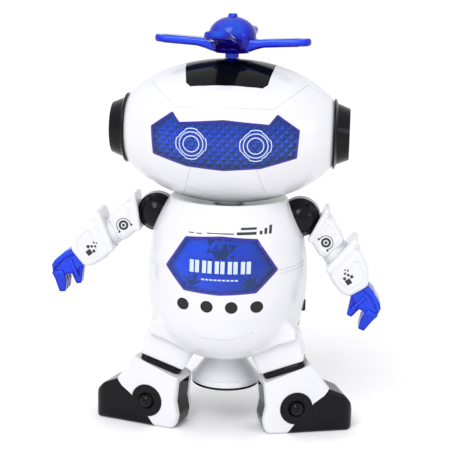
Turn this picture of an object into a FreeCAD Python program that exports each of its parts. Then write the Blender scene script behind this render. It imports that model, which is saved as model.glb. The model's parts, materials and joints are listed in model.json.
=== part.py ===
import FreeCAD, Part
import math
import os

# Toy robot, 206 mm tall, in millimetres. Z is up, the front faces -Y, and the floor under the boots is
# Z = 0 with the turning axis of the base at X = Y = 0. "left" and "right" are the robot's own sides:
# left is +X. Left pieces are modelled, and the right ones are made from them.

V = FreeCAD.Vector
X_AXIS = V(1, 0, 0)
Y_AXIS = V(0, 1, 0)
Z_AXIS = V(0, 0, 1)
CENTRE = V(0, 0, 0)

# ---- driving dimensions ------------------------------------------------------------------------
WALL = 2.0                      # moulded shells
RUN = 0.05                      # radial clearance of pins and shafts that turn
GAP = 0.3                       # clearance between faces that move past each other
PIN_R = 1.5                     # shoulder pins and hip stub axles
SCREW_R = 1.2
SCREW_HEAD_R = 2.4

HEAD_Z = 148.2                  # centre of the egg-shaped head
HEAD_A = 56.5                   # half length along X
HEAD_B = 35.3                   # radius about the X axis
HEAD_END = 50.5                 # where the ear cups cut the egg off
EAR_OUT = 58.4                  # outer face of the ear cups

TORSO_SPLIT_Y = -8.0            # parting plane of the torso's two shells
TORSO_MID_Z = 76.0
TORSO_BOTTOM = 35.6
TORSO_ARCS = [[(28.5, 116.0), (35.2, 105.6), (38.6, 92.0)],      # (radius, height) ends and middles
              [(38.6, 92.0), (40.0, 72.0), (37.4, 54.6)],
              [(37.4, 54.6), (30.0, 43.0), (14.0, TORSO_BOTTOM)]]
TORSO_TOP = [(9.0, 112.2), (20.0, 114.0)]
TORSO_INSIDE = 0.95             # the inside of its walls, as a share of the outside
PLATE_FRONT = 0.925             # the facet plate behind the chest lens, in the same way
PLATE_BACK = 0.89

SHOULDER = V(35.8, 0, 106.6)    # pivot of the left arm
SHOULDER_R = 9.6
SHOULDER_BACK_R = 10.2
TONGUE_T = 4.0                  # thickness of the arm's pivot disc
ARM_AXIS_V = 5.2                # the limb runs this far above its pivot
ARM_DROP = {"left": 56.0, "right": 38.0}   # degrees below level, as the toy stands

HIP = V(26.5, -10.0, 43.0)      # pivot of the left leg
HIP_R = 13.0                    # hip drum
HIP_HALF_WIDTH = 10.0
LEG_TILT = 21.0                 # degrees outwards
BAND_DROP = 11.6                # hip pivot to the middle of the ankle band
BAND_T = 3.3
BOOT = V(34.7, -10.0, 0.0)      # point on the floor under the ankle disc
BOOT_YAW = 17.0                 # toes point outwards and this much backwards
BOOT_HALF_WIDTH = 10.0
DISC_Z = 13.2
DISC_R = 8.25
DISC_PROUD = 0.6                # the ankle discs stand this far out of the boot
ANKLE_STUB_R = 4.0
ANKLE_STUB_DROP = 17.6          # hip pivot to the lower end of the stub that holds the boot on

CONE_BOTTOM = 19.6
CONE_R = 17.2
CONE_TOP_R = 8.5
SPINDLE_R = 2.5

PROP_R = 38.7                   # blade tip radius
HUB_Z = 194.0
HUB_R = 11.6
STEM_R = 3.4

MODULE = 0.5                    # gear train
PINION_TEETH = 12
IDLER_TEETH = 36
SPINDLE_TEETH = 40
ADDENDUM = 0.75 * MODULE
ROOT_DEPTH = 1.05 * MODULE
BACKLASH = 0.12
PRESSURE = math.radians(20)
IDLER_DIRECTION = 229.0         # degrees, from the spindle to the idler
MOTOR_DIRECTION = -16.0         # degrees, from the idler to the motor
LOWER_MESH_Z = 59.0
UPPER_MESH_Z = 63.0

CELL_R = 7.1                    # three AA cells
CELL_L = 50.0
CELL_X = (-14.5, 0.0, 14.5)
CELL_Y = 19.5
CELL_BOTTOM = 51.5


# ---- helpers -----------------------------------------------------------------------------------
def save(name, shape):
    """Writes one sub-part."""
    if shape.isNull() or not shape.isValid() or not shape.Solids:
        print("check the shape of", name)
    shape.exportStep("parts/" + name + ".step")


def polygon(points):
    """A closed wire through 3-D points."""
    return Part.makePolygon(list(points) + [points[0]])


def turned(profile, axis=Z_AXIS):
    """A solid of revolution. Profile points are (radius, height along the axis)."""
    if axis == Z_AXIS:
        points = [V(r, 0, h) for r, h in profile]
    else:
        points = [V(h, 0, r) for r, h in profile]
    return Part.Face(polygon(points)).revolve(CENTRE, axis, 360)


def rod(start, direction, radius, length):
    return Part.makeCylinder(radius, length, start, direction)


def tube(start, direction, outer, inner, length):
    return rod(start, direction, outer, length).cut(rod(start, direction, inner, length))


def block(low, high):
    return Part.makeBox(high[0] - low[0], high[1] - low[1], high[2] - low[2], V(*low))


def prism_y(outline, y0, y1):
    """An outline of (x, z) points pulled along Y."""
    return Part.Face(polygon([V(x, y0, z) for x, z in outline])).extrude(V(0, y1 - y0, 0))


def prism_z(outline, z0, z1):
    """An outline of (x, y) points pulled along Z."""
    return Part.Face(polygon([V(x, y, z0) for x, y in outline])).extrude(V(0, 0, z1 - z0))


def both_sides(half):
    """Completes an outline that is symmetric about X = 0 from its +X half, listed top to bottom."""
    return half + [(-x, z) for x, z in reversed(half) if x > 0]


def mirrored(shape):
    return shape.mirror(CENTRE, X_AXIS)


def save_pair(name, left_shape):
    """Writes the left piece and its mirror image."""
    save("left_" + name, left_shape)
    save("right_" + name, mirrored(left_shape))


def grouped(shapes):
    return Part.makeCompound(shapes)


# ---- the two big envelopes ---------------------------------------------------------------------
def egg(a, b, end):
    """An ellipsoid of revolution about X, cut off square at both ends."""
    curve = Part.Ellipse(CENTRE, a, b)
    start = math.acos(end / a)
    arc = Part.Arc(curve, start, math.pi - start).toShape()
    top = [arc.valueAt(arc.FirstParameter), arc.valueAt(arc.LastParameter)]
    foot = [V(p.x, 0, 0) for p in top]
    edges = [arc] + [Part.makeLine(*ends) for ends in ((top[1], foot[1]), (foot[1], foot[0]), (foot[0], top[0]))]
    solid = Part.Face(Part.Wire(edges)).revolve(CENTRE, X_AXIS, 360)
    solid.translate(V(0, 0, HEAD_Z))
    return solid


def head_skin(depth_out, depth_in):
    """The space between two depths under the head's surface."""
    inner = egg(HEAD_A - depth_in, HEAD_B - depth_in, HEAD_END - depth_in)
    return egg(HEAD_A - depth_out, HEAD_B - depth_out, HEAD_END - depth_out).cut(inner)


def torso_form(factor=1.0):
    """The torso of revolution, drawn in towards its middle for the inside of its walls."""
    def point(r, z):
        return V(r * factor, 0, TORSO_MID_Z + (z - TORSO_MID_Z) * factor)

    side = [Part.Arc(*[point(r, z) for r, z in arc]).toShape() for arc in TORSO_ARCS]
    rim = TORSO_ARCS[-1][-1]
    bottom = [point(*rim), point(0, TORSO_BOTTOM)]
    top = [point(0, TORSO_TOP[0][1])] + [point(r, z) for r, z in TORSO_TOP] + [point(*TORSO_ARCS[0][0])]
    rest = Part.makePolygon(bottom + top)
    outline = Part.Wire(Part.__sortEdges__(side + rest.Edges))
    return Part.Face(outline).revolve(CENTRE, Z_AXIS, 360)


# ---- head --------------------------------------------------------------------------------------
VISOR = both_sides([(0, 157.5), (21.0, 155.7), (24.6, 160.4), (35.2, 153.0), (34.2, 139.6), (17.5, 134.6),
                    (0, 133.2)])
CROWN = [(0, -25.6), (10, -25.2), (17, -24.2), (19.4, -22), (21.2, -11), (21.8, 0), (21.2, 11), (19.4, 22),
         (17, 24.2), (10, 25.2), (0, 25.6)]
CROWN_PLAN = CROWN + [(-x, y) for x, y in reversed(CROWN) if x > 0]
EYE_X = 15.1
EYE_Z = 145.8
NECK_BUSH_R = 9.0
SOCKET_R = 2.0


def head_shells():
    shell = head_skin(0, WALL)
    shell = shell.cut(prism_y(VISOR, -60, -10))
    shell = shell.cut(prism_z(CROWN_PLAN, HEAD_Z + 10, HEAD_Z + 50))
    shell = shell.cut(rod(V(0, 0, HEAD_Z - 50), Z_AXIS, NECK_BUSH_R, 30))
    for side in (-1, 1):
        shell = shell.cut(rod(V(side * 38, 0, HEAD_Z), V(side, 0, 0), 9.0, 20))
    save("head_front_shell", shell.common(block((-70, -60, 90), (70, 0, 220))))
    save("head_rear_shell", shell.common(block((-70, 0, 90), (70, 60, 220))))


def crown_cover():
    cover = head_skin(0, WALL).common(prism_z(CROWN_PLAN, HEAD_Z + 10, HEAD_Z + 50))
    save("crown_cover", cover.cut(rod(V(0, 0, HEAD_Z), Z_AXIS, SOCKET_R + 2.0, 60)))


def visor():
    lens = head_skin(0, WALL).common(prism_y(VISOR, -60, -10))
    save("visor_lens", lens)
    facets = head_skin(3.0, 4.5).common(prism_y(VISOR, -60, -10))
    save("visor_facet_plate", facets)


def ear_cup():
    """A flanged cup whose spigot enters the end of the head."""
    outline = [(0, 44.0), (9.0, 44.0), (9.0, HEAD_END), (17.2, HEAD_END), (17.2, 51.2), (14.8, 52.6),
               (12.4, EAR_OUT), (10.8, EAR_OUT), (10.2, EAR_OUT - 1.2), (0, EAR_OUT - 1.2)]
    cup = turned(outline, X_AXIS)
    cup.translate(V(0, 0, HEAD_Z))
    save_pair("ear_cup", cup)


def head_lights():
    """Two round-nosed lamps on a board, one behind each eye."""
    board_y = -17.0
    lamp_r = 2.5
    save("head_led_board", block((-24, board_y, HEAD_Z - 12), (24, board_y + 1.6, HEAD_Z + 10)))
    leds = []
    for x in (-EYE_X, EYE_X):
        nose = V(x, board_y - 5.0, EYE_Z)
        can = rod(nose, Y_AXIS, lamp_r, 5.0)
        leds.append(can.fuse(Part.makeSphere(lamp_r, nose)))
    save("eye_leds", grouped(leds))


def screw(x, y, z):
    """A self-tapping screw put in from behind, with the seat of its head at y."""
    return rod(V(x, y - 12.0, z), Y_AXIS, SCREW_R, 12.0).fuse(rod(V(x, y, z), Y_AXIS, SCREW_HEAD_R, 1.6))


def head_screws():
    corners = [(x, z) for x in (-30, 30) for z in (HEAD_Z - 14, HEAD_Z + 14)]
    save("head_screws", grouped([screw(x, 18.0, z) for x, z in corners]))


POST_R = 6.0
BUSH_Z = 113.4
BUSH_T = 3.6


def neck_bush():
    """The ring in the head's floor that turns on the neck post."""
    save("neck_bush", tube(V(0, 0, BUSH_Z), Z_AXIS, NECK_BUSH_R, POST_R + RUN, BUSH_T))


def propeller_socket():
    """The boss under the crown that the propeller's pin turns in."""
    socket = rod(V(0, 0, HEAD_Z + 20), Z_AXIS, 5.0, 12.5)
    socket = socket.cut(rod(V(0, 0, HEAD_Z + 22), Z_AXIS, SOCKET_R + RUN, 20))
    save("propeller_socket", socket)


# ---- propeller ---------------------------------------------------------------------------------
BLADE_W = 13.0
BLADE_RISE = -3.5               # the blades' middle, above the middle of the hub
BLADE_TILT = {0: 3.0, 90: 9.0, 180: 3.0, 270: 9.0}   # degrees upwards for each blade
PROP_TURN = -6.5                # degrees that the blades stand turned from the robot's axes
HUB_BOTTOM = HUB_Z - 7.8
HUB_TOP = HUB_Z + 11.1


def blade(tilt):
    """One paddle along +X: thick at the hub, thin and round at the tip, with a nub under the tip."""
    root_t = 6.0
    tip_t = 4.2
    centre_r = PROP_R - BLADE_W / 2
    plan = Part.makeBox(centre_r - 4, BLADE_W, 30, V(4, -BLADE_W / 2, -15))
    plan = plan.fuse(rod(V(centre_r, 0, -15), Z_AXIS, BLADE_W / 2, 30))
    side = prism_y([(4, root_t / 2), (PROP_R, tip_t / 2), (PROP_R, -tip_t / 2), (4, -root_t / 2)], -15, 15)
    paddle = plan.common(side)
    paddle = paddle.fuse(rod(V(PROP_R - 5, 0, -3.6), Z_AXIS, 1.6, 4.0))
    paddle.rotate(CENTRE, Y_AXIS, -tilt)
    return paddle


def propeller():
    hub = turned([(0, HUB_TOP), (2.1, HUB_TOP), (2.2, HUB_TOP - 0.8), (6.0, HUB_TOP - 2.2),
                  (9.8, HUB_Z + 5.6), (HUB_R, HUB_Z + 0.6), (HUB_R, HUB_Z - 2.2), (10.0, HUB_Z - 5.8),
                  (8.2, HUB_BOTTOM), (0, HUB_BOTTOM)])
    stem_bottom = HEAD_Z + HEAD_B + GAP
    hub = hub.fuse(rod(V(0, 0, stem_bottom), Z_AXIS, STEM_R, HUB_BOTTOM - stem_bottom + 1))
    hub = hub.fuse(rod(V(0, 0, HEAD_Z + 24), Z_AXIS, SOCKET_R, HUB_BOTTOM - HEAD_Z - 23))
    for heading, tilt in BLADE_TILT.items():
        paddle = blade(tilt)
        paddle.translate(V(0, 0, HUB_Z + BLADE_RISE))
        paddle.rotate(CENTRE, Z_AXIS, heading + PROP_TURN)
        hub = hub.fuse(paddle)
    save("propeller", hub)


# ---- torso -------------------------------------------------------------------------------------
LENS = both_sides([(0, 102.9), (17.2, 101.5), (27.2, 86.2), (17.4, 75.9), (0, 74.9)])
PORT_X = (-17.7, -5.9, 5.9, 17.7)
PORT_Z = 69.0
PORT_R = 3.0
DOOR = [(-17, 61), (17, 61), (17, 99), (-17, 99)]
DOOR_SCREW_Z = 94.5
SWITCH_Y = (-4.0, 0.0)
SWITCH_Z = (58.8, 66.8)
POCKET_R = HIP_R + 0.6
FENDER_R = 15.4
POCKET_Y = (HIP.y - HIP_HALF_WIDTH - 0.8, HIP.y + HIP_HALF_WIDTH + 0.8)
FENDER_Y = (POCKET_Y[0] - 2.4, POCKET_Y[1] + 2.4)


def fender():
    """The housing around the left hip drum, open below and to the side."""
    body = rod(V(HIP.x, FENDER_Y[0], HIP.z), Y_AXIS, FENDER_R, FENDER_Y[1] - FENDER_Y[0])
    keep = prism_y([(8, 62), (8, 44.5), (22, 44.5), (36.2, 49.5), (36.2, 62)], -40, 20)
    return body.common(keep)


def pocket():
    """The space that the left hip drum and thigh swing through."""
    width = POCKET_Y[1] - POCKET_Y[0]
    room = rod(V(HIP.x, POCKET_Y[0], HIP.z), Y_AXIS, POCKET_R, width)
    swing = block((HIP.x, POCKET_Y[0], 20), (60, POCKET_Y[1], HIP.z + 11.9))
    below = block((HIP.x - POCKET_R, POCKET_Y[0], 20), (HIP.x, POCKET_Y[1], HIP.z))
    return room.fuse([swing, below])


def shoulder_slot():
    """Room in the left flank for the arm's pivot disc."""
    return rod(V(SHOULDER.x, -TONGUE_T / 2 - GAP, SHOULDER.z), Y_AXIS, SHOULDER_R + 0.4, TONGUE_T + 2 * GAP)


def torso_outside():
    fender_left = fender()
    return torso_form().fuse([fender_left, mirrored(fender_left)])


def torso_shells(outside):
    lining = rod(V(HIP.x, FENDER_Y[0] + 0.4, HIP.z), Y_AXIS, FENDER_R - 0.1, FENDER_Y[1] - FENDER_Y[0] - 0.8)
    inside = torso_form(TORSO_INSIDE).cut(grouped([lining, mirrored(lining)]))
    shell = outside.cut(inside)
    cutters = [pocket(), mirrored(pocket()), shoulder_slot(), mirrored(shoulder_slot())]
    cutters.append(prism_y(LENS, -60, -10))
    cutters.append(prism_y(DOOR, 20, 60))
    cutters.append(block((30, SWITCH_Y[0], SWITCH_Z[0]), (50, SWITCH_Y[1], SWITCH_Z[1])))
    cutters += [hip_pin(), mirrored(hip_pin())]
    cutters.append(rod(V(0, 0, 100), Z_AXIS, POST_R, 30))
    cutters.append(rod(V(0, 0, 30), Z_AXIS, 5.0, 15))
    for x in PORT_X:
        cutters.append(rod(V(x, -60, PORT_Z), Y_AXIS, PORT_R, 50))
    shell = shell.cut(cutters)
    save("body_front_shell", shell.common(block((-60, -60, 0), (60, TORSO_SPLIT_Y, 140))))
    boss = block((-4, 30, DOOR_SCREW_Z - 3), (4, 40, 104)).common(torso_form(0.94))
    boss = boss.cut(rod(V(0, 20, DOOR_SCREW_Z), Y_AXIS, SCREW_R + 0.1, 30))
    rear = shell.common(block((-60, TORSO_SPLIT_Y, 0), (60, 60, 140)))
    save("body_rear_shell", rear.fuse(boss.fuse(boss_web())))


def boss_web():
    """Joins the door's screw boss to the wall above the door."""
    web = block((-4, 30, DOOR[2][1] + 0.2), (4, 40, 104))
    return web.common(torso_form(0.96))


def chest():
    wall = torso_form().cut(torso_form(TORSO_INSIDE))
    save("chest_lens", wall.common(prism_y(LENS, -60, -10)))
    behind = torso_form(PLATE_FRONT).common(prism_y(LENS, -60, -10))
    save("chest_facet_plate", behind.cut(torso_form(PLATE_BACK)))
    save("chest_led_board", block((-22, -24.5, 78), (22, -22.9, 100)))
    band = block((-24, -60, PORT_Z - 4.4), (24, -20, PORT_Z + 4.0))
    pads = torso_form(TORSO_INSIDE).cut(torso_form(0.92)).common(band)
    for x in PORT_X:
        stud = rod(V(x, -60, PORT_Z), Y_AXIS, PORT_R - 0.1, 40)
        pads = pads.fuse(stud.common(torso_form(0.985)).cut(torso_form(0.94)))
    save("sound_port_pads", pads)


def speaker():
    basket = turned([(0, 0), (6, 0), (6, 3), (13, 5), (13, 7), (12, 7), (5.5, 4), (0, 4)])
    basket.rotate(CENTRE, X_AXIS, 90)
    basket.translate(V(0, -25.5, 64.0))
    save("speaker", basket)


def shoulders(outside):
    ball = Part.makeSphere(SHOULDER_R, SHOULDER)
    rear_ball = Part.makeSphere(SHOULDER_BACK_R, SHOULDER)
    half = TONGUE_T / 2 + GAP
    pin = rod(V(SHOULDER.x, -7.0, SHOULDER.z), Y_AXIS, PIN_R, 14.0)
    front = ball.common(block((20, -20, 90), (60, -half, 125))).cut([outside, pin])
    rear = rear_ball.common(block((20, half, 90), (60, 20, 125))).cut([outside, pin])
    save_pair("shoulder_cap", front)
    save_pair("shoulder_back", rear)
    pin = pin.cut(outside.cut(grouped([shoulder_slot()])))
    save("shoulder_pins", grouped([pin, mirrored(pin)]))


def hip_pin():
    """A stub axle set in the rear wall of the hip pocket."""
    start = HIP.y - HIP_HALF_WIDTH + 2.4
    return rod(V(HIP.x, start, HIP.z), Y_AXIS, PIN_R, FENDER_Y[1] - 1.2 - start)


def hip_pins():
    pin = hip_pin()
    save("hip_pins", grouped([pin, mirrored(pin)]))


def neck_post():
    """A tube fixed in the torso's top; its upper collar keeps the head on."""
    bore = 4.0
    foot_r, collar_r = 8.5, 8.0
    foot = (106.0, 108.5)
    collar = (BUSH_Z + BUSH_T + GAP, BUSH_Z + BUSH_T + 2.3)
    post = turned([(bore, foot[0]), (foot_r, foot[0]), (foot_r, foot[1]), (POST_R, foot[1]),
                   (POST_R, collar[0]), (collar_r, collar[0]), (collar_r, collar[1]), (bore, collar[1])])
    save("neck_post", post)


# ---- inside the torso --------------------------------------------------------------------------
def polar(centre, radius, angle):
    return (centre[0] + radius * math.cos(angle), centre[1] + radius * math.sin(angle))


def pitch_radius(teeth):
    return teeth * MODULE / 2


def meshed(at, teeth, other_teeth, degrees):
    """Where the centre of a gear goes that meshes with another in that direction."""
    return polar(at, pitch_radius(teeth) + pitch_radius(other_teeth), math.radians(degrees))


IDLER_AT = meshed((0, 0), SPINDLE_TEETH, PINION_TEETH, IDLER_DIRECTION)
MOTOR_AT = meshed(IDLER_AT, IDLER_TEETH, PINION_TEETH, MOTOR_DIRECTION)


def gear(teeth, at, z0, thickness, tooth_heading, bore):
    """An involute spur gear with one tooth centred on the heading, in degrees."""
    pitch = pitch_radius(teeth)
    base = pitch * math.cos(PRESSURE)
    tip = pitch + ADDENDUM
    root = pitch - ROOT_DEPTH
    half_tooth = (math.pi * MODULE / 2 - BACKLASH / 2) / pitch / 2
    involute_at_pitch = math.tan(PRESSURE) - PRESSURE
    flank = [(root, half_tooth + involute_at_pitch)]
    steps = 6
    low = max(base, root)
    for i in range(steps + 1):
        r = low + (tip - low) * i / steps
        roll = math.acos(min(1.0, base / r))
        flank.append((r, half_tooth + involute_at_pitch - (math.tan(roll) - roll)))
    points = []
    for tooth in range(teeth):
        middle = math.radians(tooth_heading) + 2 * math.pi * tooth / teeth
        for r, spread in flank:
            points.append(V(*polar(at, r, middle - spread), z0))
        for r, spread in reversed(flank):
            points.append(V(*polar(at, r, middle + spread), z0))
    solid = Part.Face(polygon(points)).extrude(V(0, 0, thickness))
    return solid.cut(rod(V(at[0], at[1], z0 - 1), Z_AXIS, bore, thickness + 2))


def gear_train():
    gap_turn = 180.0 / PINION_TEETH
    save("spindle_gear", gear(SPINDLE_TEETH, (0, 0), LOWER_MESH_Z, 3.0, IDLER_DIRECTION, SPINDLE_R))
    axle_r = 1.0
    small = gear(PINION_TEETH, IDLER_AT, LOWER_MESH_Z - 0.2, UPPER_MESH_Z - LOWER_MESH_Z + 0.2,
                 IDLER_DIRECTION + 180 + gap_turn, axle_r + RUN)
    large = gear(IDLER_TEETH, IDLER_AT, UPPER_MESH_Z, 2.0, MOTOR_DIRECTION, axle_r + RUN)
    save("idler_gear", small.fuse(large))
    between = FRAME_HIGH[0] - FRAME_LOW[1]
    save("idler_axle", rod(V(IDLER_AT[0], IDLER_AT[1], FRAME_LOW[1]), Z_AXIS, axle_r, between))
    save("motor_pinion", gear(PINION_TEETH, MOTOR_AT, UPPER_MESH_Z - 0.2, 2.4,
                              MOTOR_DIRECTION + 180 + gap_turn, axle_r))


FRAME_LOW = (55.0, 57.0)
FRAME_HIGH = (67.0, 68.5)
FRAME_POSTS = [(11.5, 4.5), (-12.5, 4.5), (-12.5, -21.6), (11.0, -21.6)]


def gearbox_frame():
    plates = [block((-14, -23, z[0]), (13, 6.5, z[1])) for z in (FRAME_LOW, FRAME_HIGH)]
    posts = [rod(V(x, y, FRAME_LOW[1]), Z_AXIS, 1.2, FRAME_HIGH[0] - FRAME_LOW[1]) for x, y in FRAME_POSTS]
    bearing = rod(V(0, 0, TORSO_BOTTOM), Z_AXIS, 5.0, FRAME_LOW[0] - TORSO_BOTTOM)
    frame = plates[0].fuse([plates[1], bearing] + posts)
    frame = frame.cut(rod(V(0, 0, 30), Z_AXIS, SPINDLE_R + RUN, 30))
    save("gearbox_frame", frame.cut(rod(V(MOTOR_AT[0], MOTOR_AT[1], FRAME_HIGH[0] - 1), Z_AXIS, 2.0, 4)))


def motor():
    can = rod(V(MOTOR_AT[0], MOTOR_AT[1], FRAME_HIGH[1]), Z_AXIS, 10.0, 25.0)
    slab = block((MOTOR_AT[0] - 10, MOTOR_AT[1] - 7.5, 60), (MOTOR_AT[0] + 10, MOTOR_AT[1] + 7.5, 100))
    shaft = rod(V(MOTOR_AT[0], MOTOR_AT[1], UPPER_MESH_Z - 1), Z_AXIS, 1.0 - RUN, 8)
    save("motor", can.common(slab).fuse(shaft))


def batteries():
    cells = []
    for x in CELL_X:
        cell = rod(V(x, CELL_Y, CELL_BOTTOM), Z_AXIS, CELL_R, CELL_L - 1.0)
        cells.append(cell.fuse(rod(V(x, CELL_Y, CELL_BOTTOM + CELL_L - 1.0), Z_AXIS, 2.7, 1.0)))
    save("battery_cells", grouped(cells))
    top = CELL_BOTTOM + CELL_L
    outer = block((-23.4, CELL_Y - 8.6, CELL_BOTTOM - 2.4), (23.4, CELL_Y + 3.0, top + 2.4))
    room = block((-22.0, CELL_Y - 7.3, CELL_BOTTOM - 0.8), (22.0, CELL_Y + 20, top + 0.8))
    save("battery_box", outer.cut(room))
    contacts = []
    for x in CELL_X:
        contacts.append(block((x - 5, CELL_Y - 5, CELL_BOTTOM - 0.8), (x + 5, CELL_Y + 5, CELL_BOTTOM - 0.3)))
        contacts.append(block((x - 5, CELL_Y - 5, top + 0.3), (x + 5, CELL_Y + 5, top + 0.8)))
    save("battery_contacts", grouped(contacts))


def circuit_board():
    board = block((-23, 2.2, 70), (23, 3.8, 104))
    chip = block((-6, 0.8, 82), (6, 2.2, 90))
    save("main_circuit_board", board.fuse(chip))


def battery_door():
    """A curved lift-off door in the back, held by one screw."""
    inset = [(x + (GAP if x < 0 else -GAP), z + (GAP if z < 80 else -GAP)) for x, z in DOOR]
    door = torso_form().cut(torso_form(TORSO_INSIDE)).common(prism_y(inset, 20, 60))
    seat_y = 37.4
    way = rod(V(0, 20, DOOR_SCREW_Z), Y_AXIS, SCREW_R + 0.1, 40)
    well = rod(V(0, seat_y, DOOR_SCREW_Z), Y_AXIS, SCREW_HEAD_R + 0.2, 10)
    save("battery_door", door.cut([way, well]))
    shank = rod(V(0, seat_y - 6, DOOR_SCREW_Z), Y_AXIS, SCREW_R, 6.0)
    save("door_screw", shank.fuse(rod(V(0, seat_y, DOOR_SCREW_Z), Y_AXIS, SCREW_HEAD_R, 1.0)))


def body_screws():
    corners = [(-30, 84), (30, 84), (-26, 62), (26, 62)]
    save("body_screws", grouped([screw(x, 14.0, z) for x, z in corners]))


SWITCH_TRAVEL = 2.0


def power_switch():
    """A slide button in the left flank, shown in its lower position."""
    y0 = SWITCH_Y[0] + GAP
    y1 = SWITCH_Y[1] - GAP
    z0 = SWITCH_Z[0] + GAP
    z1 = SWITCH_Z[1] - GAP - SWITCH_TRAVEL
    button = block((35.2, y0, z0), (39.9, y1, z1))
    flange = block((34.6, y0 - 1.5, z0 - 1), (35.7, y1 + 1.5, z1 + 1))
    save("power_switch", button.fuse(flange))


# ---- turning base ------------------------------------------------------------------------------
def base():
    rim_top = CONE_BOTTOM + 3.8
    floor_t = 1.2
    outer = turned([(0, 35.2), (CONE_TOP_R, 35.2), (12.1, 29.6), (16.6, rim_top + 0.4), (CONE_R, rim_top),
                    (CONE_R, CONE_BOTTOM + floor_t), (0, CONE_BOTTOM + floor_t)])
    hollow = turned([(0, 32.0), (7.5, 32.0), (10.4, 29.0), (14.6, rim_top), (15.2, rim_top - 0.4),
                     (15.2, CONE_BOTTOM + floor_t), (0, CONE_BOTTOM + floor_t)])
    boss = rod(V(0, 0, CONE_BOTTOM + floor_t), Z_AXIS, 5.0, 12.0)
    cone = outer.cut(hollow).fuse(boss).cut(rod(V(0, 0, 24), Z_AXIS, SPINDLE_R, 20))
    save("base_cone", cone)
    save("base_ring", rod(V(0, 0, CONE_BOTTOM), Z_AXIS, CONE_R, floor_t))
    save("base_spindle", rod(V(0, 0, 24), Z_AXIS, SPINDLE_R, LOWER_MESH_Z + 4.0 - 24))


# ---- arms --------------------------------------------------------------------------------------
# Arm outlines are (along the limb, above the pivot line), with the pivot at (0, 0).
UPPER_ARM = [(2.5, 14.2), (11.7, -1.8), (21.4, -2.2), (21.4, 12.6)]
FOREARM = [(22.2, 17.6), (40.0, 15.2), (46.3, 10.8), (46.0, -0.4), (42.0, -2.8), (34.0, -3.4),
           (28.0, -1.9)]
ELBOW_R = 7.0
ELBOW_END = 30.0
UPPER_ARM_HALF = 7.6
FOREARM_HALF = 9.4
HAND_HALF = 6.6
PEG_R = 2.5
PALM = [(46.4, 10.4), (56.0, 11.2), (60.0, 10.0), (61.8, 7.0), (61.2, 1.6), (56.0, 1.2), (54.0, -0.4),
        (46.4, 0.0)]
FINGER = [(56.4, 4.0), (61.8, 7.0), (62.6, 3.0), (65.0, -3.6), (62.4, -5.2), (58.6, -1.6), (57.4, 1.2)]
THUMB = [(47.4, 4.0), (53.5, 3.6), (55.2, -0.2), (56.6, -5.6), (54.2, -6.8), (49.6, -2.6), (47.0, -0.2)]


def placed_arm(shape, side):
    """Puts an arm piece on its shoulder at the angle that arm hangs at.

    The arms are the same front and back, so the right one is the left one turned half round.
    """
    piece = shape.copy()
    piece.rotate(CENTRE, Y_AXIS, ARM_DROP[side])
    piece.translate(SHOULDER)
    if side == "right":
        piece.rotate(CENTRE, Z_AXIS, 180)
    return piece


def rounded(solid, radius):
    """Rounds the edges of a limb that run along it."""
    edges = [e for e in solid.Edges if abs(e.tangentAt(e.FirstParameter).y) < 0.01]
    return solid.makeFillet(radius, edges)


def upper_arm():
    sleeve = rounded(prism_y(UPPER_ARM, -UPPER_ARM_HALF, UPPER_ARM_HALF), 3.5)
    elbow = rod(V(18.0, 0, ARM_AXIS_V), X_AXIS, ELBOW_R, ELBOW_END - 18.0)
    body = sleeve.fuse(elbow).cut(Part.makeSphere(SHOULDER_R + 1.2, CENTRE))
    tongue = rod(V(0, -TONGUE_T / 2, 0), Y_AXIS, SHOULDER_R - 0.6, TONGUE_T)
    neck = block((3.0, -TONGUE_T / 2, 0.0), (16.0, TONGUE_T / 2, 8.0))
    body = body.fuse([tongue, neck])
    return body.cut(rod(V(0, -5, 0), Y_AXIS, PIN_R + RUN, 10))


def forearm():
    sleeve = rounded(prism_y(FOREARM, -FOREARM_HALF, FOREARM_HALF), 3.0)
    cavity = rod(V(10.0, 0, ARM_AXIS_V), X_AXIS, ELBOW_R + 0.15, ELBOW_END + GAP - 10.0)
    mouth = block((10.0, -FOREARM_HALF - 1, -10), (21.9, FOREARM_HALF + 1, 30))
    wrist = rod(V(40.0, 0, ARM_AXIS_V), X_AXIS, PEG_R + RUN, 10)
    return sleeve.cut([cavity, mouth, wrist])


def hand():
    """A palm with a thumb and three fingers side by side, on a peg that turns in the forearm."""
    finger_t = 3.8
    spacing = HAND_HALF - finger_t / 2
    palm = prism_y(PALM, -HAND_HALF, HAND_HALF)
    parts = [prism_y(THUMB, -2.4, 2.4)]
    for y in (-spacing, 0, spacing):
        parts.append(prism_y(FINGER, y - finger_t / 2, y + finger_t / 2))
    peg = rod(V(41.0, 0, ARM_AXIS_V), X_AXIS, PEG_R, 8)
    return palm.fuse(parts + [peg])


def arms():
    pieces = {"upper_arm": upper_arm(), "forearm": forearm(), "hand": hand()}
    for side in ("left", "right"):
        for name, shape in pieces.items():
            save(side + "_" + name, placed_arm(shape, side))


# ---- legs --------------------------------------------------------------------------------------
THIGH_HALF = 11.3
BOOT_SIDE = [(-13.5, 0), (28.8, 0), (30.6, 2.6), (30.6, 7.4), (28.8, 14.0), (25.4, 18.4), (17.5, 21.8),
             (4.0, 40.0), (-17.0, 36.0), (-16.2, 24.0), (-15.2, 14.0), (-16.6, 7.0), (-15.6, 2.0)]
SHELL_SIDE = [(-30, -2), (-6, -2), (-1.5, 4.0), (9.0, 15.5), (14.0, 19.0), (18.0, 24.0), (18, 50),
              (-30, 50)]
CORE_HALF = 6.0
BRIDGE_Z = 24.0


def placed_leg(shape):
    """Takes a piece from the leg's own frame, where the limb runs down -Z from the hip pivot."""
    piece = shape.copy()
    piece.rotate(CENTRE, Y_AXIS, -LEG_TILT)
    piece.translate(HIP)
    return piece


def placed_boot(shape):
    piece = shape.copy()
    piece.rotate(CENTRE, Z_AXIS, BOOT_YAW)
    piece.translate(BOOT)
    return piece


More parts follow.
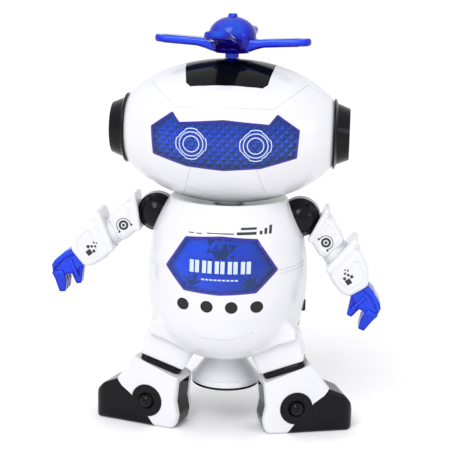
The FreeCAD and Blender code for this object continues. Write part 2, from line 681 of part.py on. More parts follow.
def thigh():
    drum = rod(V(0, -HIP_HALF_WIDTH, 0), Y_AXIS, HIP_R, 2 * HIP_HALF_WIDTH)
    shank_end = -(BAND_DROP - BAND_T / 2)
    shank = block((-THIGH_HALF, -HIP_HALF_WIDTH, shank_end), (THIGH_HALF, HIP_HALF_WIDTH, 0))
    below = block((-20, -20, -30), (20, 20, shank_end))
    body = drum.fuse(shank).cut(below)
    body = body.fuse(rod(V(0, 0, -ANKLE_STUB_DROP), Z_AXIS, ANKLE_STUB_R, 8.0))
    return placed_leg(body.cut(rod(V(0, 2.0 - HIP_HALF_WIDTH, 0), Y_AXIS, PIN_R + RUN, 30)))


def ankle_band():
    low = -(BAND_DROP + BAND_T / 2)
    band = block((-THIGH_HALF + 0.5, -HIP_HALF_WIDTH + 0.4, low),
                 (THIGH_HALF - 0.5, HIP_HALF_WIDTH - 0.4, low + BAND_T))
    return placed_leg(band.cut(rod(V(0, 0, -30), Z_AXIS, ANKLE_STUB_R, 40)))


def boot_plan():
    """The boot seen from above: a long box with a round toe and softer heel corners."""
    plan = block((-17.0, -BOOT_HALF_WIDTH, -1), (30.6, BOOT_HALF_WIDTH, 60))

    def upright(solid):
        return [e for e in solid.Edges if abs(e.tangentAt(e.FirstParameter).z) > 0.99]

    plan = plan.makeFillet(8.0, [e for e in upright(plan) if e.CenterOfMass.x > 0])
    return plan.makeFillet(4.0, [e for e in upright(plan) if e.CenterOfMass.x < -10])


def boot_pieces():
    """The black core with the toe, the white shell over the ankle, and the two ankle discs."""
    form = prism_y(BOOT_SIDE, -BOOT_HALF_WIDTH, BOOT_HALF_WIDTH).common(boot_plan())
    above_band = placed_leg(block((-40, -40, -(BAND_DROP + BAND_T / 2)), (40, 40, 60)))
    bore = placed_leg(rod(V(0, 0, -ANKLE_STUB_DROP), Z_AXIS, ANKLE_STUB_R, 8.0))
    form = placed_boot(form).cut([above_band, bore])
    region = prism_y(SHELL_SIDE, -30, 30)
    middle = block((-40, -CORE_HALF, -5), (40, CORE_HALF, BRIDGE_Z))
    disc_t = BOOT_HALF_WIDTH - CORE_HALF + DISC_PROUD
    discs = [rod(V(0, CORE_HALF, DISC_Z), Y_AXIS, DISC_R, disc_t),
             rod(V(0, -BOOT_HALF_WIDTH - DISC_PROUD, DISC_Z), Y_AXIS, DISC_R, disc_t)]
    shell = form.common(placed_boot(region)).cut([placed_boot(middle)] + [placed_boot(d) for d in discs])
    core = form.cut([shell] + [placed_boot(d) for d in discs])
    domes = [Part.makeSphere(3.7, V(0, s * (BOOT_HALF_WIDTH - 0.6), DISC_Z)) for s in (-1, 1)]
    disc_solids = [placed_boot(d.fuse(dome.cut(middle))) for d, dome in zip(reversed(discs), domes)]
    return core, shell, grouped(disc_solids)


def legs():
    core, shell, discs = boot_pieces()
    save_pair("thigh", thigh())
    save_pair("ankle_band", ankle_band())
    save_pair("boot_core", core)
    save_pair("boot_shell", shell)
    save_pair("ankle_discs", discs)


def main():
    os.makedirs("parts", exist_ok=True)
    head_shells()
    crown_cover()
    visor()
    ear_cup()
    head_lights()
    head_screws()
    neck_bush()
    propeller_socket()
    propeller()
    outside = torso_outside()
    torso_shells(outside)
    chest()
    speaker()
    shoulders(outside)
    hip_pins()
    neck_post()
    gear_train()
    gearbox_frame()
    motor()
    batteries()
    circuit_board()
    battery_door()
    body_screws()
    power_switch()
    base()
    arms()
    legs()


main()
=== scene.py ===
import json
import math

import bmesh
import bpy
import numpy as np
from mathutils import Matrix, Vector
from mathutils.bvhtree import BVHTree
from mathutils.interpolate import poly_3d_calc


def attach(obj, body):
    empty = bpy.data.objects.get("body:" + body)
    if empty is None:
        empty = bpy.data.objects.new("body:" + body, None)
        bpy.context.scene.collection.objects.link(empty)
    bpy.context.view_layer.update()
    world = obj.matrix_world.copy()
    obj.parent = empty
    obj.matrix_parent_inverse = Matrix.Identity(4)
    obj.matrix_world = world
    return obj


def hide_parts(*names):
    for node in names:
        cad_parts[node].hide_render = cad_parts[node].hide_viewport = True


# The looks of the toy robot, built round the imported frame. Lengths below are in millimetres, in the
# frame's own axes: Z up, front towards -Y, the robot's left towards +X. Blender itself is in metres.

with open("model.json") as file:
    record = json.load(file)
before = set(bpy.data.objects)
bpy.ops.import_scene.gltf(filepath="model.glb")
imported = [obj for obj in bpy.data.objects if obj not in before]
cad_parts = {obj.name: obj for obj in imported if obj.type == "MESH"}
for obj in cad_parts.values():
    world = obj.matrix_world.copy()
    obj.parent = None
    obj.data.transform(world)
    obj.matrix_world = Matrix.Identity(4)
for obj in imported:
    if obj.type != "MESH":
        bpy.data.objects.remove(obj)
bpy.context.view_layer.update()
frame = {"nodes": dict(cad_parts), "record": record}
MM = 0.001

# ---- driving dimensions, the same as the part's ------------------------------------------------
HEAD_Z = 148.2
HEAD_A = 56.5
HEAD_B = 35.3
HEAD_END = 50.5
EAR_OUT = 58.4
WALL = 2.0
FIT = 0.12                     # gap round a piece that sits in an opening

TORSO_SPLIT_Y = -8.0
TORSO_MID_Z = 76.0
TORSO_BOTTOM = 35.6
TORSO_TOP = [(0, 112.2), (9.0, 112.2), (20.0, 114.0)]
TORSO_ARCS = [[(28.5, 116.0), (35.2, 105.6), (38.6, 92.0)],
              [(38.6, 92.0), (40.0, 72.0), (37.4, 54.6)],
              [(37.4, 54.6), (30.0, 43.0), (14.0, TORSO_BOTTOM)]]

SHOULDER = (35.8, 0, 106.6)
SHOULDER_R = 9.6
TONGUE_HALF = 2.3
ARM_AXIS_V = 5.2
ARM_DROP = {"left": 56.0, "right": 38.0}

HIP = (26.5, -10.0, 43.0)
HIP_R = 13.0
HIP_HALF_WIDTH = 10.0
LEG_TILT = 21.0
BAND_DROP = 11.6
BAND_T = 3.3
BOOT = (34.7, -10.0, 0.0)
BOOT_YAW = 17.0
BOOT_HALF_WIDTH = 10.0
DISC_Z = 13.2
DISC_R = 8.25

CONE_BOTTOM = 19.6
CONE_R = 17.2

PROP_R = 38.7
HUB_Z = 194.0
HUB_R = 11.6
STEM_R = 3.4

# ---- outlines ----------------------------------------------------------------------------------
VISOR_HALF = [(0, 157.5), (21.0, 155.7), (24.6, 160.4), (35.2, 153.0), (34.2, 139.6), (17.5, 134.6),
              (0, 133.2)]
LENS_HALF = [(0, 102.9), (17.2, 101.5), (27.2, 86.2), (17.4, 75.9), (0, 74.9)]
CROWN_HALF = [(0, -25.6), (10, -25.2), (17, -24.2), (19.4, -22), (21.2, -11), (21.8, 0), (21.2, 11),
              (19.4, 22), (17, 24.2), (10, 25.2), (0, 25.6)]
PORT_X = (-17.7, -5.9, 5.9, 17.7)
PORT_Z = 69.0
PORT_R = 3.0
EYE_X = 15.1
EYE_Z = 145.8
TORSO_INSIDE = 0.95            # the inside of its walls, as a share of the outside
PLATE_FRONT = 0.925            # the facet plate behind the chest lens, in the same way
PLATE_BACK = 0.89
DOOR = [(-17, 61), (17, 61), (17, 99), (-17, 99)]
DOOR_SCREW_Z = 94.5
SWITCH_Y = (-4.0, 0.0)
SWITCH_Z = (58.8, 66.8)


# ---- outlines and distances --------------------------------------------------------------------
def both_sides(half):
    return half + [(-x, z) for x, z in reversed(half) if x > 0]


def opening(half, depth, radius):
    """A symmetric outline, drawn in by a depth and with rounded corners."""
    return eased(inset(both_sides(half), depth), radius, 4)


def area_sign(outline):
    twice = sum(a[0] * b[1] - b[0] * a[1] for a, b in zip(outline, outline[1:] + outline[:1]))
    return 1 if twice > 0 else -1


def inset(outline, depth):
    """The outline moved inwards by a depth."""
    turn = area_sign(outline)
    moved = []
    for before, here, after in zip(outline[-1:] + outline[:-1], outline, outline[1:] + outline[:1]):
        a = Vector((here[0] - before[0], here[1] - before[1])).normalized()
        b = Vector((after[0] - here[0], after[1] - here[1])).normalized()
        normal = (Vector((-a.y, a.x)) + Vector((-b.y, b.x))) * turn
        reach = 2 * depth / max(normal.length_squared, 0.3)
        moved.append((here[0] + normal.x * reach, here[1] + normal.y * reach))
    return moved


def eased(outline, radius, steps=5, closed=True):
    """The outline with its corners rounded."""
    result = []
    count = len(outline)
    for i, here in enumerate(outline):
        if not closed and i in (0, count - 1):
            result.append(here)
            continue
        corner = Vector(here)
        to_before = Vector(outline[i - 1]) - corner
        to_after = Vector(outline[(i + 1) % count]) - corner
        angle = to_before.angle(to_after, math.pi)
        room = 0.45 * min(to_before.length, to_after.length)
        reach = min(radius / max(math.tan(angle / 2), 1e-3), room)
        start = corner + to_before.normalized() * reach
        end = corner + to_after.normalized() * reach
        for k in range(steps + 1):
            t = k / steps
            point = start * (1 - t) ** 2 + corner * 2 * t * (1 - t) + end * t * t
            result.append((point.x, point.y))
    return result


def arc_through(a, b, c, steps):
    """Points on the circle from a to c by way of b, with c left out."""
    ax, ay = a
    bx, by = b
    cx, cy = c
    d = 2 * (ax * (by - cy) + bx * (cy - ay) + cx * (ay - by))
    sa, sb, sc = ax * ax + ay * ay, bx * bx + by * by, cx * cx + cy * cy
    ox = (sa * (by - cy) + sb * (cy - ay) + sc * (ay - by)) / d
    oy = (sa * (cx - bx) + sb * (ax - cx) + sc * (bx - ax)) / d
    first = math.atan2(ay - oy, ax - ox)
    last = math.atan2(cy - oy, cx - ox)
    sweep = (last - first + math.pi) % (2 * math.pi) - math.pi
    radius = math.hypot(ax - ox, ay - oy)
    angles = [first + sweep * k / steps for k in range(steps)]
    return [(ox + radius * math.cos(t), oy + radius * math.sin(t)) for t in angles]


def polygon_distance(outline, x, z):
    """Signed distance from points to an outline, negative inside."""
    closest = np.full(x.shape, 1e9)
    inside = np.zeros(x.shape, bool)
    for (ax, az), (bx, bz) in zip(outline, outline[1:] + outline[:1]):
        ex, ez = bx - ax, bz - az
        t = np.clip(((x - ax) * ex + (z - az) * ez) / (ex * ex + ez * ez), 0, 1)
        closest = np.minimum(closest, np.hypot(x - ax - t * ex, z - az - t * ez))
        if az != bz:
            inside ^= ((az > z) != (bz > z)) & (x < ex * (z - az) / ez + ax)
    return np.where(inside, -closest, closest)


def rounded_meeting(a, b, rounding):
    """Where two distances overlap, with the edge between them rounded."""
    a = a + rounding
    b = b + rounding
    return np.hypot(np.maximum(a, 0), np.maximum(b, 0)) + np.minimum(np.maximum(a, b), 0) - rounding


def melted(a, b, softness):
    """Two distances joined, with a fillet between them."""
    share = np.clip(0.5 + 0.5 * (b - a) / softness, 0, 1)
    return b * (1 - share) + a * share - softness * share * (1 - share)


def extrusion(outline, half, rounding, softening=0.0):
    """Distance to an outline in (x, z) that is half wide each way along Y, with rounded edges."""
    core = inset(outline, rounding)
    if softening:
        core = eased(core, softening, 4)

    def distance(p):
        flat = polygon_distance(core, p[:, 0], p[:, 2]) - rounding
        return rounded_meeting(flat, np.abs(p[:, 1]) - half, rounding)
    return distance


# ---- meshes ------------------------------------------------------------------------------------
def new_object(name, points, faces, smooth=True):
    mesh = bpy.data.meshes.new(name)
    mesh.from_pydata([[c * MM for c in p] for p in points], [], faces)
    mesh.update()
    obj = bpy.data.objects.new(name, mesh)
    bpy.context.scene.collection.objects.link(obj)
    work = bmesh.new()
    work.from_mesh(mesh)
    bmesh.ops.recalc_face_normals(work, faces=work.faces)
    work.to_mesh(mesh)
    work.free()
    mesh.polygons.foreach_set("use_smooth", [smooth] * len(mesh.polygons))
    return obj


def blob(name, distance, centre, rings=90, spokes=128, reach=75.0):
    """A closed skin where the distance is zero, as seen outwards from its centre."""
    heights = np.linspace(0, math.pi, rings + 1)[1:-1]
    turns = np.arange(spokes) * 2 * math.pi / spokes
    polar, around = np.meshgrid(heights, turns, indexing="ij")
    rays = np.stack([np.sin(polar) * np.cos(around), np.sin(polar) * np.sin(around), np.cos(polar)], -1)
    rays = np.vstack([rays.reshape(-1, 3), [[0, 0, 1], [0, 0, -1]]])
    near = np.zeros(len(rays))
    far = np.full(len(rays), reach)
    for _ in range(26):
        middle = (near + far) / 2
        inside = distance(np.array(centre) + rays * middle[:, None]) < 0
        near = np.where(inside, middle, near)
        far = np.where(inside, far, middle)
    points = np.array(centre) + rays * near[:, None]
    faces = []
    for i in range(rings - 2):
        for j in range(spokes):
            k = (j + 1) % spokes
            faces.append((i * spokes + j, (i + 1) * spokes + j, (i + 1) * spokes + k, i * spokes + k))
    top, bottom = len(points) - 2, len(points) - 1
    last = (rings - 2) * spokes
    for j in range(spokes):
        k = (j + 1) % spokes
        faces.append((top, j, k))
        faces.append((bottom, last + k, last + j))
    return new_object(name, points.tolist(), faces)


def lathe(name, profile, axis="Z", centre=(0, 0, 0), steps=96):
    """Turns (radius, height) points about an axis. An open profile starts and ends on the axis."""
    def place(radius, height, turn):
        a, b = radius * math.cos(turn), radius * math.sin(turn)
        local = {"X": (height, a, b), "Y": (b, height, a), "Z": (a, b, height)}[axis]
        return [c + o for c, o in zip(local, centre)]

    closed = min(radius for radius, _ in profile) > 0
    points, rows = [], []
    for radius, height in profile:
        if radius <= 0:
            rows.append([len(points)] * steps)
            points.append(place(0, height, 0))
        else:
            rows.append(list(range(len(points), len(points) + steps)))
            points += [place(radius, height, 2 * math.pi * k / steps) for k in range(steps)]
    faces = []
    pairs = list(zip(rows, rows[1:] + rows[:1])) if closed else list(zip(rows, rows[1:]))
    for low, high in pairs:
        for k in range(steps):
            n = (k + 1) % steps
            corners = [low[k], low[n], high[n], high[k]]
            faces.append([c for i, c in enumerate(corners) if c != corners[i - 1]])
    return new_object(name, points, [f for f in faces if len(f) > 2])


def prism(name, outline, low, high, axis="Y"):
    """An outline pulled along an axis: (x, z) points along Y, (x, y) along Z, or (y, z) along X."""
    def place(a, b, h):
        return {"Y": (a, h, b), "Z": (a, b, h), "X": (h, a, b)}[axis]

    count = len(outline)
    points = [place(a, b, low) for a, b in outline] + [place(a, b, high) for a, b in outline]
    faces = [list(range(count)), list(range(2 * count - 1, count - 1, -1))]
    faces += [[i, (i + 1) % count, count + (i + 1) % count, count + i] for i in range(count)]
    return new_object(name, points, faces, smooth=False)


def box(name, low, high):
    return prism(name, [(low[0], low[1]), (high[0], low[1]), (high[0], high[1]), (low[0], high[1])],
                 low[2], high[2], "Z")


def rod(name, start, end, radius, steps=48):
    """A plain cylinder between two points, for cutting and joining."""
    a, b = Vector(start), Vector(end)
    along = (b - a).normalized()
    side = along.orthogonal().normalized()
    other = along.cross(side)
    turns = [2 * math.pi * k / steps for k in range(steps)]
    rim = [side * math.cos(turn) + other * math.sin(turn) for turn in turns]
    points = [a + r * radius for r in rim] + [b + r * radius for r in rim]
    faces = [list(range(steps)), list(range(2 * steps - 1, steps - 1, -1))]
    faces += [[k, (k + 1) % steps, steps + (k + 1) % steps, steps + k] for k in range(steps)]
    return new_object(name, points, faces)


def groove_tube(points, radius, closed=False):
    """A thin six-sided tube along a path, which cuts a groove where it meets a skin."""
    sides = 6
    path = [Vector(p) for p in points]
    rows, verts, count = [], [], len(points)
    for i, here in enumerate(path):
        before = path[i - 1] if (i > 0 or closed) else here
        after = path[(i + 1) % count] if (i < count - 1 or closed) else here
        along = (after - before).normalized()
        side = along.cross(Vector((0.13, 0.2, 0.97))).normalized()
        other = along.cross(side)
        rows.append(list(range(len(verts), len(verts) + sides)))
        for k in range(sides):
            turn = 2 * math.pi * k / sides
            verts.append(here + (side * math.cos(turn) + other * math.sin(turn)) * radius)
    pairs = list(zip(rows, rows[1:]))
    if closed:
        pairs.append((rows[-1], rows[0]))
    faces = [[a[k], a[(k + 1) % sides], b[(k + 1) % sides], b[k]] for a, b in pairs for k in range(sides)]
    if not closed:
        faces += [rows[0][::-1], rows[-1]]
    return new_object("groove", verts, faces)


def path_points(corners, spacing=1.2):
    """Points along straight runs between corners, about that far apart."""
    result = []
    for a, b in zip(corners, corners[1:]):
        steps = max(1, round(math.dist(a, b) / spacing))
        result += [[p + (q - p) * k / steps for p, q in zip(a, b)] for k in range(steps)]
    return result + [list(corners[-1])]


def settle(obj):
    """Makes the mesh what its modifiers show."""
    bpy.context.view_layer.update()
    shown = obj.evaluated_get(bpy.context.evaluated_depsgraph_get())
    mesh = bpy.data.meshes.new_from_object(shown)
    obj.modifiers.clear()
    obj.data = mesh
    return obj


def combine(obj, others, operation):
    """A boolean with each of the others, which are used up."""
    for other in others:
        modifier = obj.modifiers.new("combine", "BOOLEAN")
        modifier.operation = operation
        modifier.solver = "EXACT"
        modifier.object = other
        settle(obj)
        bpy.data.objects.remove(other)
    return obj


def cut(obj, *others):
    return combine(obj, others, "DIFFERENCE")


def keep(obj, *others):
    return combine(obj, others, "INTERSECT")


def join(obj, *others):
    return combine(obj, others, "UNION")


def duplicate(obj, name):
    twin = bpy.data.objects.new(name, obj.data.copy())
    bpy.context.scene.collection.objects.link(twin)
    return twin


def merged(parts, name):
    """Several pieces as the one mesh of the first."""
    with bpy.context.temp_override(active_object=parts[0], selected_editable_objects=parts):
        bpy.ops.object.join()
    parts[0].name = name
    return parts[0]


def chamfer(obj, width, segments=3, angle=35):
    """Rounds the sharp edges."""
    modifier = obj.modifiers.new("edges", "BEVEL")
    modifier.width = width * MM
    modifier.segments = segments
    modifier.limit_method = "ANGLE"
    modifier.angle_limit = math.radians(angle)
    modifier.harden_normals = True
    for face in obj.data.polygons:
        face.use_smooth = True
    return settle(obj)


class Skin:
    """The smooth surface that a cut piece came from. It lends the piece its normals, and takes decals."""

    def __init__(self, obj):
        mesh = obj.data
        self.points = [v.co.copy() for v in mesh.vertices]
        self.normals = [v.normal.copy() for v in mesh.vertices]
        self.faces = [list(p.vertices) for p in mesh.polygons]
        self.tree = BVHTree.FromPolygons(self.points, self.faces)

    def normal(self, point, face):
        corners = self.faces[face]
        shares = poly_3d_calc([self.points[c] for c in corners], point)
        return sum((self.normals[c] * s for c, s in zip(corners, shares)), Vector()).normalized()

    def near(self, point, within):
        found, _, face, _ = self.tree.find_nearest(point, within)
        return None if found is None else self.normal(found, face)

    def hit(self, start, direction):
        """Where a ray in millimetres first meets the skin, and the normal there."""
        found, _, face, _ = self.tree.ray_cast(Vector(start) * MM, Vector(direction))
        return found / MM, self.normal(found, face)


def smooth_from(obj, *skins, within=0.03):
    """Faces that still lie on a skin take its normals; other edges sharper than 35 degrees stay crisp."""
    mesh = obj.data
    for face in mesh.polygons:
        face.use_smooth = True
    mesh.set_sharp_from_angle(angle=math.radians(35))
    normals = [Vector(n.vector) for n in mesh.corner_normals]
    for face in mesh.polygons:
        for skin in skins:
            lent = [skin.near(mesh.vertices[v].co, within * MM) for v in face.vertices]
            if all(n is not None and abs(n.dot(face.normal)) > 0.9 for n in lent):
                for loop, n in zip(face.loop_indices, lent):
                    normals[loop] = n if n.dot(face.normal) > 0 else -n
                break
    mesh.normals_split_custom_set(normals)
    return obj


def placed(obj, name, matrix):
    """A copy of a piece from its own frame, put in place. A mirror image is turned right side out."""
    twin = duplicate(obj, name)
    matrix = Matrix.Scale(MM, 4) @ matrix @ Matrix.Scale(1 / MM, 4)
    twin.data.transform(matrix)
    if matrix.determinant() < 0:
        twin.data.flip_normals()
    return twin


def turned_to(pivot, axis, degrees):
    return Matrix.Translation(Vector(pivot)) @ Matrix.Rotation(math.radians(degrees), 4, axis)


MIRROR = Matrix.Diagonal((-1, 1, 1, 1))


# ---- materials ---------------------------------------------------------------------------------
def plastic(name, low, high, roughness, grain, depth, mottle=60.0, **sockets):
    """Moulded plastic: its colour and gloss drift a little, over a fine grain."""
    material = bpy.data.materials.new(name)
    material.use_nodes = True
    nodes, links = material.node_tree.nodes, material.node_tree.links
    shader = nodes["Principled BSDF"]
    for socket, value in sockets.items():
        shader.inputs[socket.replace("_", " ")].default_value = value
    where = nodes.new("ShaderNodeTexCoord")
    drift = nodes.new("ShaderNodeTexNoise")
    drift.inputs["Scale"].default_value = mottle
    drift.inputs["Detail"].default_value = 3.0
    links.new(where.outputs["Object"], drift.inputs["Vector"])
    colour = nodes.new("ShaderNodeValToRGB")
    colour.color_ramp.elements[0].position = 0.35
    colour.color_ramp.elements[0].color = (*low, 1)
    colour.color_ramp.elements[1].position = 0.65
    colour.color_ramp.elements[1].color = (*high, 1)
    links.new(drift.outputs["Fac"], colour.inputs["Fac"])
    links.new(colour.outputs["Color"], shader.inputs["Base Color"])
    gloss = nodes.new("ShaderNodeMapRange")
    gloss.inputs["To Min"].default_value = roughness[0]
    gloss.inputs["To Max"].default_value = roughness[1]
    links.new(drift.outputs["Fac"], gloss.inputs["Value"])
    links.new(gloss.outputs["Result"], shader.inputs["Roughness"])
    fine = nodes.new("ShaderNodeTexNoise")
    fine.inputs["Scale"].default_value = grain
    fine.inputs["Detail"].default_value = 2.0
    links.new(where.outputs["Object"], fine.inputs["Vector"])
    bump = nodes.new("ShaderNodeBump")
    bump.inputs["Strength"].default_value = 0.5
    bump.inputs["Distance"].default_value = depth * MM
    links.new(fine.outputs["Fac"], bump.inputs["Height"])
    links.new(bump.outputs["Normal"], shader.inputs["Normal"])
    return material


def painted_facing_light(material, toward, shade_to_highlight_stops):
    """Paints light and shade into a piece's colour by which way its faces look: faces turned to one fixed
    direction get a painted highlight, faces turned away get painted shade.
    """
    nodes, links = material.node_tree.nodes, material.node_tree.links
    where = nodes["Texture Coordinate"]
    dot = nodes.new("ShaderNodeVectorMath")
    dot.operation = "DOT_PRODUCT"
    dot.inputs[1].default_value = Vector(toward).normalized()
    links.new(where.outputs["Normal"], dot.inputs[0])
    drift = nodes["Noise Texture"]
    sway = nodes.new("ShaderNodeMath")
    sway.operation = "MULTIPLY_ADD"
    sway.inputs[1].default_value = 0.12
    links.new(drift.outputs["Fac"], sway.inputs[0])
    links.new(dot.outputs["Value"], sway.inputs[2])
    # the ramp runs from painted shade to painted highlight
    ramp = nodes.new("ShaderNodeValToRGB")
    first, last = ramp.color_ramp.elements
    first.position, first.color = shade_to_highlight_stops[0][0], (*shade_to_highlight_stops[0][1], 1)
    last.position, last.color = shade_to_highlight_stops[-1][0], (*shade_to_highlight_stops[-1][1], 1)
    for position, tint in shade_to_highlight_stops[1:-1]:
        ramp.color_ramp.elements.new(position).color = (*tint, 1)
    links.new(sway.outputs["Value"], ramp.inputs["Fac"])
    links.new(ramp.outputs["Color"], nodes["Principled BSDF"].inputs["Base Color"])
    return material


def brushed(name, low, high, roughness):
    """Metal with drawn lines along it."""
    material = plastic(name, low, high, roughness, 900.0, 0.01, Metallic=1.0)
    nodes, links = material.node_tree.nodes, material.node_tree.links
    stretch = nodes.new("ShaderNodeMapping")
    stretch.inputs["Scale"].default_value = (1, 1, 12)
    where = nodes["Texture Coordinate"]
    links.new(where.outputs["Object"], stretch.inputs["Vector"])
    for node in nodes:
        if node.type == "TEX_NOISE":
            links.new(stretch.outputs["Vector"], node.inputs["Vector"])
    return material


def make_materials():
    clear = {"Transmission_Weight": 0.96, "IOR": 1.3, "Coat_Weight": 0.3, "Coat_Roughness": 0.03}
    return {
        "white_plastic": plastic("white_gloss", (0.70, 0.70, 0.735), (0.72, 0.72, 0.75), (0.14, 0.22), 900,
                                 0.004, Coat_Weight=0.15, Coat_Roughness=0.08),
        "black_plastic": plastic("black_gloss", (0.002, 0.002, 0.003), (0.004, 0.004, 0.005), (0.08, 0.14),
                                 900, 0.004, Specular_IOR_Level=0.18),
        # painted light: faces turned front and up are painted bright blue, faces turned away painted dark
        # violet shade
        "blue_clear_plastic": painted_facing_light(
            plastic("blue_clear", (0.012, 0.075, 0.93), (0.02, 0.11, 1.0), (0.03, 0.07), 300, 0.002,
                    Transmission_Weight=0.5, IOR=1.3, Coat_Weight=0.12, Coat_Roughness=0.03),
            (0, -0.85, 0.5), [(0.1, (0.015, 0.002, 0.2)), (0.6, (0.008, 0.008, 0.55)),
                              (0.85, (0.009, 0.022, 0.85)), (1.0, (0.02, 0.12, 1.0))]),
        "lens_clear": plastic("lens_clear", (0.10, 0.36, 0.97), (0.14, 0.42, 1.0), (0.01, 0.02), 300, 0.001,
                              **clear),
        "lens_edge": plastic("lens_edge", (0.025, 0.01, 0.36), (0.04, 0.015, 0.45), (0.06, 0.12), 700, 0.004,
                             Transmission_Weight=0.35, IOR=1.49, Coat_Weight=0.3),
        # painted light: facets facing the key lamp's direction are painted light blue, facets turned away
        # painted dark shade
        "blue_facets": painted_facing_light(
            plastic("blue_facets", (0.16, 0.30, 0.95), (0.26, 0.46, 1.0), (0.10, 0.2), 300, 0.002,
                    mottle=55.0),
            (-0.45, -0.6, 0.66), [(0.25, (0.004, 0.012, 0.12)), (0.5, (0.01, 0.09, 0.5)),
                                  (0.78, (0.03, 0.22, 0.85)), (1.0, (0.12, 0.45, 1.0))]),
        # dark navy stones, with painted light: facets facing the key lamp's direction are painted lighter,
        # the rest painted darker shade
        "dark_facets": painted_facing_light(
            plastic("dark_facets", (0.01, 0.02, 0.14), (0.02, 0.04, 0.28), (0.08, 0.16), 300, 0.002),
            (-0.45, -0.6, 0.66), [(0.3, (0.001, 0.002, 0.02)), (0.8, (0.003, 0.012, 0.11)),
                                  (1.0, (0.02, 0.12, 0.6))]),
        "dull_black": plastic("dull_black", (0.008, 0.008, 0.009), (0.014, 0.014, 0.015), (0.45, 0.6), 1800,
                              0.02, Specular_IOR_Level=0.3),
        "white_nylon": plastic("white_nylon", (0.78, 0.78, 0.74), (0.84, 0.84, 0.80), (0.4, 0.5), 900, 0.01,
                               Subsurface_Weight=0.1, Subsurface_Scale=0.001),
        "steel": brushed("steel", (0.50, 0.50, 0.52), (0.62, 0.62, 0.64), (0.25, 0.35)),
        "brass": brushed("brass", (0.70, 0.52, 0.22), (0.80, 0.62, 0.30), (0.22, 0.34)),
        "circuit_board": plastic("circuit_board", (0.02, 0.16, 0.05), (0.03, 0.24, 0.08), (0.3, 0.45), 1200,
                                 0.02),
        "light_lens": plastic("light_lens", (0.8, 0.88, 1.0), (0.88, 0.94, 1.0), (0.08, 0.12), 600, 0.004,
                              Transmission_Weight=0.5, IOR=1.5),
        "battery_wrap": plastic("battery_wrap", (0.02, 0.02, 0.022), (0.05, 0.05, 0.055), (0.2, 0.3), 500,
                                0.01),
        "black_ink": plastic("black_ink", (0.012, 0.012, 0.014), (0.022, 0.022, 0.024), (0.35, 0.5), 2500,
                             0.006),
        "pale_ink": plastic("pale_ink", (0.52, 0.62, 0.95), (0.62, 0.72, 1.0), (0.35, 0.5), 2500, 0.006),
    }


MATERIALS = make_materials()


def finish_piece(obj, body, look, stands_for=()):
    """Gives a piece its material, its body and the CAD nodes that it stands for."""
    obj.data.materials.clear()
    obj.data.materials.append(MATERIALS[look])
    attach(obj, body)
    if stands_for:
        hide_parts(*stands_for)
    return obj


# ---- the two big forms -------------------------------------------------------------------------
def egg_outline(depth, steps=110):
    """The head's half outline as (radius, distance along X), at a depth under its surface."""
    a, b, end = HEAD_A - depth, HEAD_B - depth, HEAD_END - depth
    start = math.acos(end / a)
    turns = [start + (math.pi - 2 * start) * k / steps for k in range(steps + 1)]
    return [(b * math.sin(t), a * math.cos(t)) for t in turns]


def egg_wall(name, depth_out, depth_in):
    return lathe(name, egg_outline(depth_out) + egg_outline(depth_in)[::-1], "X", (0, 0, HEAD_Z), 200)


def torso_profile(steps=36):
    """The torso's half outline from the middle of its top to the middle of its bottom."""
    points = [tuple(p) for p in path_points(TORSO_TOP + [TORSO_ARCS[0][0]], 1.0)[:-1]]
    for arc in TORSO_ARCS:
        points += arc_through(*arc, steps)
    return points + [TORSO_ARCS[-1][-1], (0, TORSO_BOTTOM)]


def torso_solid(name, factor, steps=200):
    profile = [(r * factor, TORSO_MID_Z + (z - TORSO_MID_Z) * factor) for r, z in torso_profile()]
    return lathe(name, profile, "Z", (0, 0, 0), steps)


def torso_distance():
    """About how far a point is from the torso with its hip housings."""
    outline = torso_profile(90)
    bearing = np.array([math.atan2(r, z - TORSO_MID_Z) for r, z in outline])
    reach = np.array([math.hypot(r, z - TORSO_MID_Z) for r, z in outline])
    keep_above = [(6, 66), (6, 44.0), (22, 44.5), (36.2, 49.5), (36.2, 66)]

    def distance(p):
        r = np.hypot(p[:, 0], p[:, 1])
        z = p[:, 2] - TORSO_MID_Z
        body = np.hypot(r, z) - np.interp(np.arctan2(r, z), bearing, reach)
        x = np.abs(p[:, 0])
        drum = np.hypot(x - HIP[0], p[:, 2] - HIP[2]) - 15.4
        side = np.abs(p[:, 1] + 10.0) - 13.2
        housing = rounded_meeting(drum, side, 2.6)
        housing = rounded_meeting(housing, polygon_distance(keep_above, x, p[:, 2]), 0.8)
        return melted(body, housing, 3.0)
    return distance


# ---- head --------------------------------------------------------------------------------------
def on_egg_front(x, z):
    """The point on the front of the head at that x and z."""
    room = 1 - (x / HEAD_A) ** 2 - ((z - HEAD_Z) / HEAD_B) ** 2
    return (x, -HEAD_B * math.sqrt(max(room, 0)), z)


def head_grooves():
    """Panel lines over the brow, down the chin and under it."""
    lines = []
    brow = [(-37.5, 172.5), (-22.3, 162.3), (0, 163.2), (22.3, 162.3), (37.5, 172.5), (46.5, 167.0)]
    lines.append([on_egg_front(x, z) for x, z in path_points(brow)])
    for side in (-1, 1):
        chin = [(side * 15.5, 134.9), (side * 19.0, 122.5), (side * 22.0, 117.6)]
        lines.append([on_egg_front(x, z) for x, z in path_points(chin)])
    under = [(18.3 * t / 8, 120.1 + 4.2 * (t / 8) ** 2) for t in range(-8, 9)]
    lines.append([on_egg_front(x, z) for x, z in under])
    return [groove_tube(line, 0.3) for line in lines]


